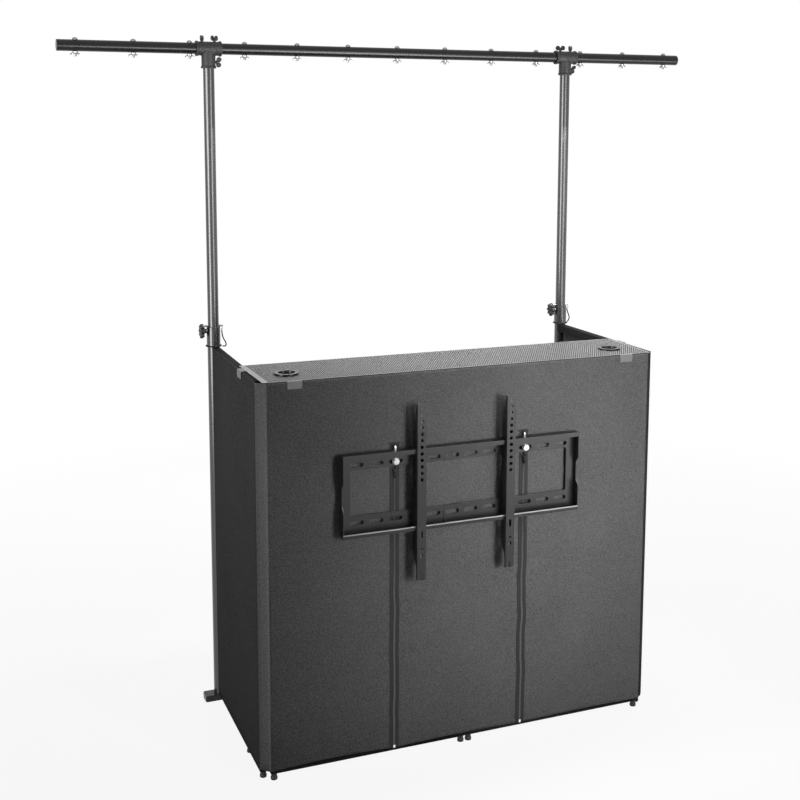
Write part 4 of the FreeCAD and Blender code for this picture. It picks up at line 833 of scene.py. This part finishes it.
def light_hardware():
    """Domed light bolts through the crossbar and their wing nuts."""
    bolt = [(0, 6), (2.6, 5.8), (5, 4.8), (7, 2.9), (7.8, 1.2), (8, 0.5), (7.7, 0), (4, 0), (4, -45.7),
            (3.4, -46.3), (0, -46.3)]
    hub = [(4.3, 0), (6.6, 0), (7, -0.5), (6.9, -1.4), (5.2, -7.6), (4.9, -8), (4.3, -8)]
    wing = [(4.6, -3), (7, -3.2), (11, -4.3), (13.6, -7), (13.9, -10.2), (12, -11.9), (9.6, -11.2),
            (7.6, -8.6), (4.6, -7.2)]
    other_wing = [(-across, up) for across, up in reversed(wing)]
    wing_t, wing_bevel = 2.4, 0.8
    seat = BAR_R + 0.3 * MM
    bolts = []
    nuts = []
    for low, high in spots("light_bolts"):
        bolts.append(put(turned(bolt, 24), ((low.x + high.x) / 2, POST_Y, BAR_Z + seat)))
    for low, high in spots("light_wing_nuts"):
        spot = ((low.x + high.x) / 2, POST_Y, BAR_Z - seat)
        nuts.append(put(turned(hub, 24, ring=True), spot))
        for outline in (wing, other_wing):
            nuts.append(put(plate(outline, wing_t, wing_bevel), spot))
    piece("light_bolt_row", bolts, "zinc", "light_bar", "light_bolts")
    piece("wing_nut_row", nuts, "zinc", "light_bar", "light_wing_nuts")


def wing_screws():
    """Screws with two dimpled round ears on the tees, each turned as it was left."""
    stem = [(0, -3.7), (3.5, -3.7), (4, -3.2), (4, 2.3), (5.1, 2.3), (5.5, 2.7), (5.5, 8.8), (4.4, 10.3),
            (0, 10.3)]
    ear = [(0, 0.7), (3.6, 0.7), (4.6, 1.5), (6.5, 1.5), (7.5, 0.7), (7.5, -0.7), (6.5, -1.5), (4.6, -1.5),
           (3.6, -0.7), (0, -0.7)]
    flat = Matrix.Rotation(-math.pi / 2, 4, "X")
    turns = {"left": (35, 60, 20), "right": (-30, 40, 35)}
    bar_screw_x, pole_screw_x, ear_x, ear_z = 18 * MM, 20 * MM, 8 * MM, 10 * MM
    for side, sign in SIDES:
        x = sign * POST_X
        ways = (
            ("inner", (x - sign * bar_screw_x, POST_Y, BAR_SCREW_Z), Matrix.Identity(4)),
            ("outer", (x + sign * bar_screw_x, POST_Y, BAR_SCREW_Z), Matrix.Identity(4)),
            ("pole", (x + pole_screw_x, POST_Y, POLE_SCREW_Z), TO_X),
        )
        for (word, spot, way), turn in zip(ways, turns[side]):
            shapes = [turned(stem, 24)]
            for hand in (-1, 1):
                shapes.append(put(turned(ear, 28), (hand * ear_x, 0, ear_z), flat))
            whole = joined(shapes)
            put(whole, spot, way @ Matrix.Rotation(math.radians(turn), 4, "Z"))
            name = f"{side}_tee_{word}_screw"
            piece(f"{name}_ears", [whole], "plastic", name, name, coat=SCREW)


def tees():
    """Cast tees with run-together corners, from the CAD shape."""
    for side in ("left", "right"):
        shape = bmesh.new()
        shape.from_mesh(NODES[f"{side}_tee"].data)
        bmesh.ops.remove_doubles(shape, verts=shape.verts, dist=0.01 * MM)
        item = piece(f"{side}_cast_tee", [shape], "fitting", "light_bar", f"{side}_tee", sharp=180)
        cast = item.modifiers.new("cast", "REMESH")
        cast.mode = "VOXEL"
        cast.voxel_size = 0.9 * MM
        cast.use_smooth_shade = True
        soft = item.modifiers.new("soft", "SMOOTH")
        soft.factor = 0.5
        soft.iterations = 6


def glides():
    """Round glides under the frame."""
    pad = [(0, 0), (7.6, 0), (8.9, 0.7), (9.5, 2.2), (9.5, 7.6), (9, 9), (8, 10), (8, 19), (7.4, 19.8),
           (0, 19.8)]
    feet = []
    for low, high in spots("frame_glides"):
        feet.append(put(turned(pad, 32), ((low.x + high.x) / 2, (low.y + high.y) / 2, 0)))
    piece("round_glides", feet, "plastic", "booth", "frame_glides")


def camera():
    """The camera at the photograph's viewing angle."""
    focal, centre_x, centre_y, side = 1320.9, 470.5, 292.4, 800
    yaw, pitch, roll = 0.4232, 0.1435, 0.0097
    place, film = (-1.4692, FACE - 3.2639, 1.8250), 36
    forward = Vector((math.sin(yaw) * math.cos(pitch), math.cos(yaw) * math.cos(pitch), -math.sin(pitch)))
    right = Vector((math.cos(yaw), -math.sin(yaw), 0))
    up = right.cross(forward)
    across = math.cos(roll) * right + math.sin(roll) * up
    upright = math.cos(roll) * up - math.sin(roll) * right
    eye = bpy.data.cameras.new("camera")
    eye.sensor_width = film
    eye.lens = film * focal / side
    eye.shift_x = 0.5 - centre_x / side
    eye.shift_y = centre_y / side - 0.5
    item = bpy.data.objects.new("camera", eye)
    item.matrix_world = Matrix((across, upright, -forward)).transposed().to_4x4()
    item.location = place
    bpy.context.collection.objects.link(item)
    bpy.context.scene.camera = item


def lamp(name, place, target, width, height, power, spread=180, only=None):
    """A soft box aimed at a target, which may show only in gloss or only light matt surfaces."""
    light = bpy.data.lights.new(name, "AREA")
    light.shape = "RECTANGLE"
    light.size = width
    light.size_y = height
    light.energy = power
    light.spread = math.radians(spread)
    item = bpy.data.objects.new(name, light)
    item.location = place
    item.visible_camera = False
    item.visible_diffuse = only != "gloss"
    item.visible_glossy = only != "matt"
    item.rotation_euler = (Vector(target) - Vector(place)).to_track_quat("-Z", "Y").to_euler()
    bpy.context.collection.objects.link(item)


def seen_directly(tree):
    """1 for rays that show a surface to the camera, straight, by gloss or through glass."""
    path = tree.nodes.new("ShaderNodeLightPath")
    total = path.outputs["Is Camera Ray"]
    for kind in ("Is Glossy Ray", "Is Transmission Ray"):
        either = tree.nodes.new("ShaderNodeMath")
        either.operation = "MAXIMUM"
        tree.links.new(total, either.inputs[0])
        tree.links.new(path.outputs[kind], either.inputs[1])
        total = either.outputs[0]
    return total


def studio():
    """A white room with soft lamps and a pale floor."""
    scene = bpy.context.scene
    scene.view_settings.view_transform = "Standard"
    world = bpy.data.worlds.new("room")
    world.use_nodes = True
    nodes, links = world.node_tree.nodes, world.node_tree.links
    back = nodes["Background"]
    back.inputs["Color"].default_value = grey(1)
    back.inputs["Strength"].default_value = 0.1
    white = nodes.new("ShaderNodeBackground")
    white.inputs["Color"].default_value = grey(1)
    white.inputs["Strength"].default_value = 1
    mix = nodes.new("ShaderNodeMixShader")
    links.new(seen_directly(world.node_tree), mix.inputs[0])
    links.new(back.outputs[0], mix.inputs[1])
    links.new(white.outputs[0], mix.inputs[2])
    links.new(mix.outputs[0], nodes["World Output"].inputs["Surface"])
    scene.world = world
    lamps()
    floor()


def lamps():
    """Soft lamps: some for matt surfaces and some only for the shine on tubes, plate and rails."""
    lamp("key_lamp", (0.8, -2.2, 1.25), (0.3, FACE, 0.85), width=0.9, height=1.4, power=8.9, spread=50,
         only="matt")
    lamp("left_fill", (-3.0, -0.3, 2.0), (-0.6, 0, 1.1), width=0.8, height=0.8, power=2.8, spread=60)
    lamp("shelf_strip", (0.35, -0.1, 1.75), (0.35, -0.1, 1), width=1.5, height=0.15, power=21)
    lamp("back_fill", (0.3, 2.8, 1.3), (0, 0, 0.6), width=1.6, height=1.2, power=30, only="matt")
    lamp("left_box", (-3.1, -1.3, 1.25), (-POST_X, POST_Y, 1.25), width=1.4, height=1.9, power=72,
         only="gloss")
    lamp("pole_box", (0.7, -2.4, 1.4), (0, POST_Y, 1.4), width=0.9, height=1.6, power=23, only="gloss")
    lamp("bar_box", (0.35, -0.6, 1.5), (0.03, POST_Y, BAR_Z), width=2.6, height=0.35, power=3.0, spread=50,
         only="gloss")
    lamp("plate_box", (1.7, -2.6, 0.1), (0.2, FACE, 0.75), width=0.9, height=0.8, power=14, only="gloss")
    lamp("rail_box", (0.9, -1.3, 2.2), (0.1, FACE, 0.7), width=2.0, height=0.8, power=7, spread=50,
         only="gloss")


def floor():
    """A pale floor that keeps the table's shadow and goes over into the white room."""
    half, dark, light = 12, 0.84, 0.88
    mesh = bpy.data.meshes.new("floor")
    slab = bmesh.new()
    bmesh.ops.create_grid(slab, x_segments=1, y_segments=1, size=half)
    slab.to_mesh(mesh)
    slab.free()
    ground = bpy.data.objects.new("floor", mesh)
    pale = Finish("floor_white", Roughness=0.9, Specular_IOR_Level=0.1)
    pale.feed(Base_Color=pale.mix(pale.noise(3, 3), grey(dark), grey(light)))
    glow = pale.node("ShaderNodeEmission", None, {"Strength": 1.0})
    far = pale.node("ShaderNodeVectorMath", {"operation": "LENGTH"}, {0: pale.here}, "Value")
    share = Wire(pale, seen_directly(pale.tree)) * pale.ramp(far * 0.1, (0.12, 0.9), (0.35, 1.0))
    shown = pale.node("ShaderNodeMixShader", None, {0: share, 1: Wire(pale, pale.shader.outputs[0]), 2: glow})
    pale.set(pale.tree.nodes["Material Output"], {"Surface": shown})
    mesh.materials.append(pale.material)
    bpy.context.collection.objects.link(ground)


for part in frame["record"]["subparts"]:
    node = part["node"]
    NODES[node].data.materials.clear()
    coat = FINISHES[part["material_slot"]]
    for ending, other in (("crossbar", BAR), ("bracket_bolts", BOLT), ("wall_plate", PLATE)):
        if node.endswith(ending):
            coat = other
    NODES[node].data.materials.append(coat)

camera()
lanyards()
cloth()
zips()
sliders()
perforated_shelf()
cable_grommets()
collars()
clamp_knobs()
light_hardware()
wing_screws()
tees()
glides()
soften(["left_rear_post", "right_rear_post", "left_pole", "right_pole", "left_crossbar", "right_crossbar",
        "crossbar_sleeve", "left_lock_pin", "right_lock_pin", "bracket_spacers"], 0.3)
soften(["front_left_frame", "front_right_frame", "bracket_uprights", "left_side_frame", "right_side_frame",
        "board_ledges", "left_corner_hinges", "right_corner_hinges", "middle_hinges", "bracket_nuts"], 0.5)
soften(["bracket_wall_plate", "left_screen_arm", "right_screen_arm", "shelf_hooks", "bracket_bolts"], 0.8, 3)
soften(["rear_feet", "work_board", "crossbar_caps"], 1.2, 3)
studio()
